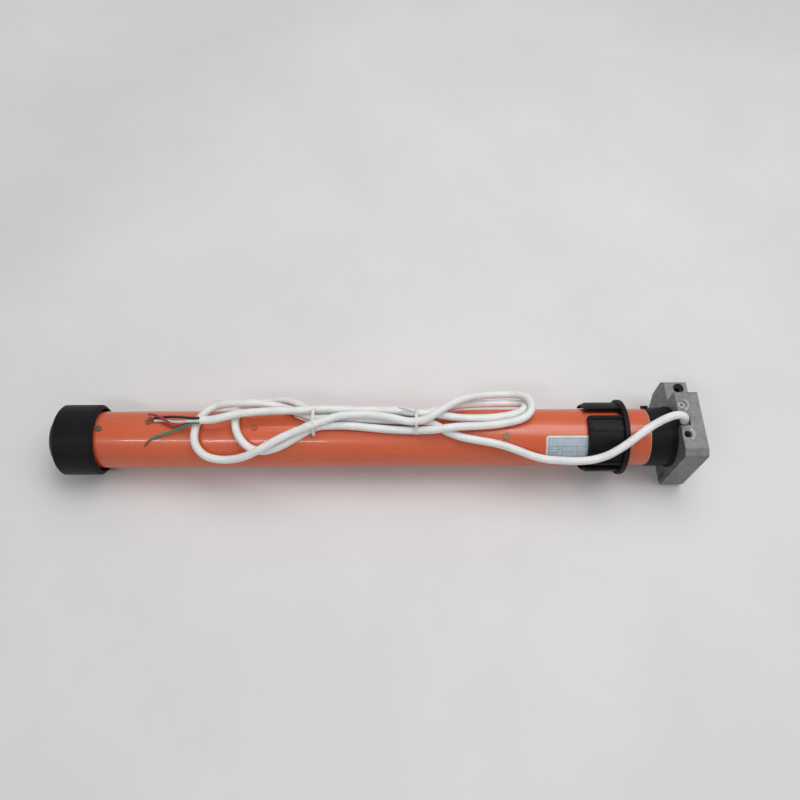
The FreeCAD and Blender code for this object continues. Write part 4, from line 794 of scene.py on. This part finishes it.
# Each light's place, target, size in metres and power in watts
LIGHTS = {
    "ceiling": ((0.15, 0.34, 1.6), (-0.2, 0, 0), (1.9, 0.95), 19),
    "left_tube": ((-0.94, -1.0, 1.6), (-0.48, 0, 0), (0.8, 0.055), 5.4),
    "right_tube": ((0.0, 0.15, 1.6), (-0.16, 0, 0), (0.25, 0.05), 0.6),
}


def floor_height(along):
    """The floor touches the wheel at one end and the head at the other."""
    head_bottom = cad_box[0][2]
    share = (along - WHEEL_MIDDLE) / -WHEEL_MIDDLE
    return -WHEEL_RADIUS + share * (head_bottom + WHEEL_RADIUS) - FLOOR_GAP


def add_floor():
    mesh = bpy.data.meshes.new("floor")
    corners = [(-1, -1), (1, -1), (1, 1), (-1, 1)]
    places = [(FLOOR_HALF * x, FLOOR_HALF * y, floor_height(FLOOR_HALF * x)) for x, y in corners]
    mesh.from_pydata(places, [], [(0, 1, 2, 3)])
    mesh.materials.append(floor_paper())
    floor = bpy.data.objects.new("floor", mesh)
    bpy.context.scene.collection.objects.link(floor)


def add_area_light(name, place, target, size, power):
    data = bpy.data.lights.new(name, "AREA")
    data.shape = "RECTANGLE"
    data.size, data.size_y = size
    data.energy = power
    light = bpy.data.objects.new(name, data)
    bpy.context.scene.collection.objects.link(light)
    light.location = place
    aim = Vector(target) - Vector(place)
    light.rotation_euler = aim.to_track_quat("-Z", "Y").to_euler()


def add_world():
    """Soft light all round, while the camera and reflections see a pale backdrop."""
    world = bpy.data.worlds.new("studio")
    world.use_nodes = True
    tree = world.node_tree
    light = tree.nodes["Background"]
    light.inputs["Color"].default_value = (*WORLD_COLOUR, 1)
    light.inputs["Strength"].default_value = WORLD_LIGHT
    backdrop = tree.nodes.new("ShaderNodeBackground")
    backdrop.inputs["Color"].default_value = (*BACKDROP, 1)
    rays = tree.nodes.new("ShaderNodeLightPath")
    seen = rays.outputs["Is Camera Ray"]
    for kind in ("Is Glossy Ray", "Is Transmission Ray"):
        either = tree.nodes.new("ShaderNodeMath")
        either.operation = "MAXIMUM"
        tree.links.new(seen, either.inputs[0])
        tree.links.new(rays.outputs[kind], either.inputs[1])
        seen = either.outputs["Value"]
    mix = tree.nodes.new("ShaderNodeMixShader")
    tree.links.new(seen, mix.inputs["Fac"])
    tree.links.new(light.outputs["Background"], mix.inputs[1])
    tree.links.new(backdrop.outputs["Background"], mix.inputs[2])
    tree.links.new(mix.outputs["Shader"], tree.nodes["World Output"].inputs["Surface"])
    bpy.context.scene.world = world


add_floor()
add_world()
for light_name, light_settings in LIGHTS.items():
    add_area_light(light_name, *light_settings)
bpy.context.scene.view_settings.view_transform = "Standard"
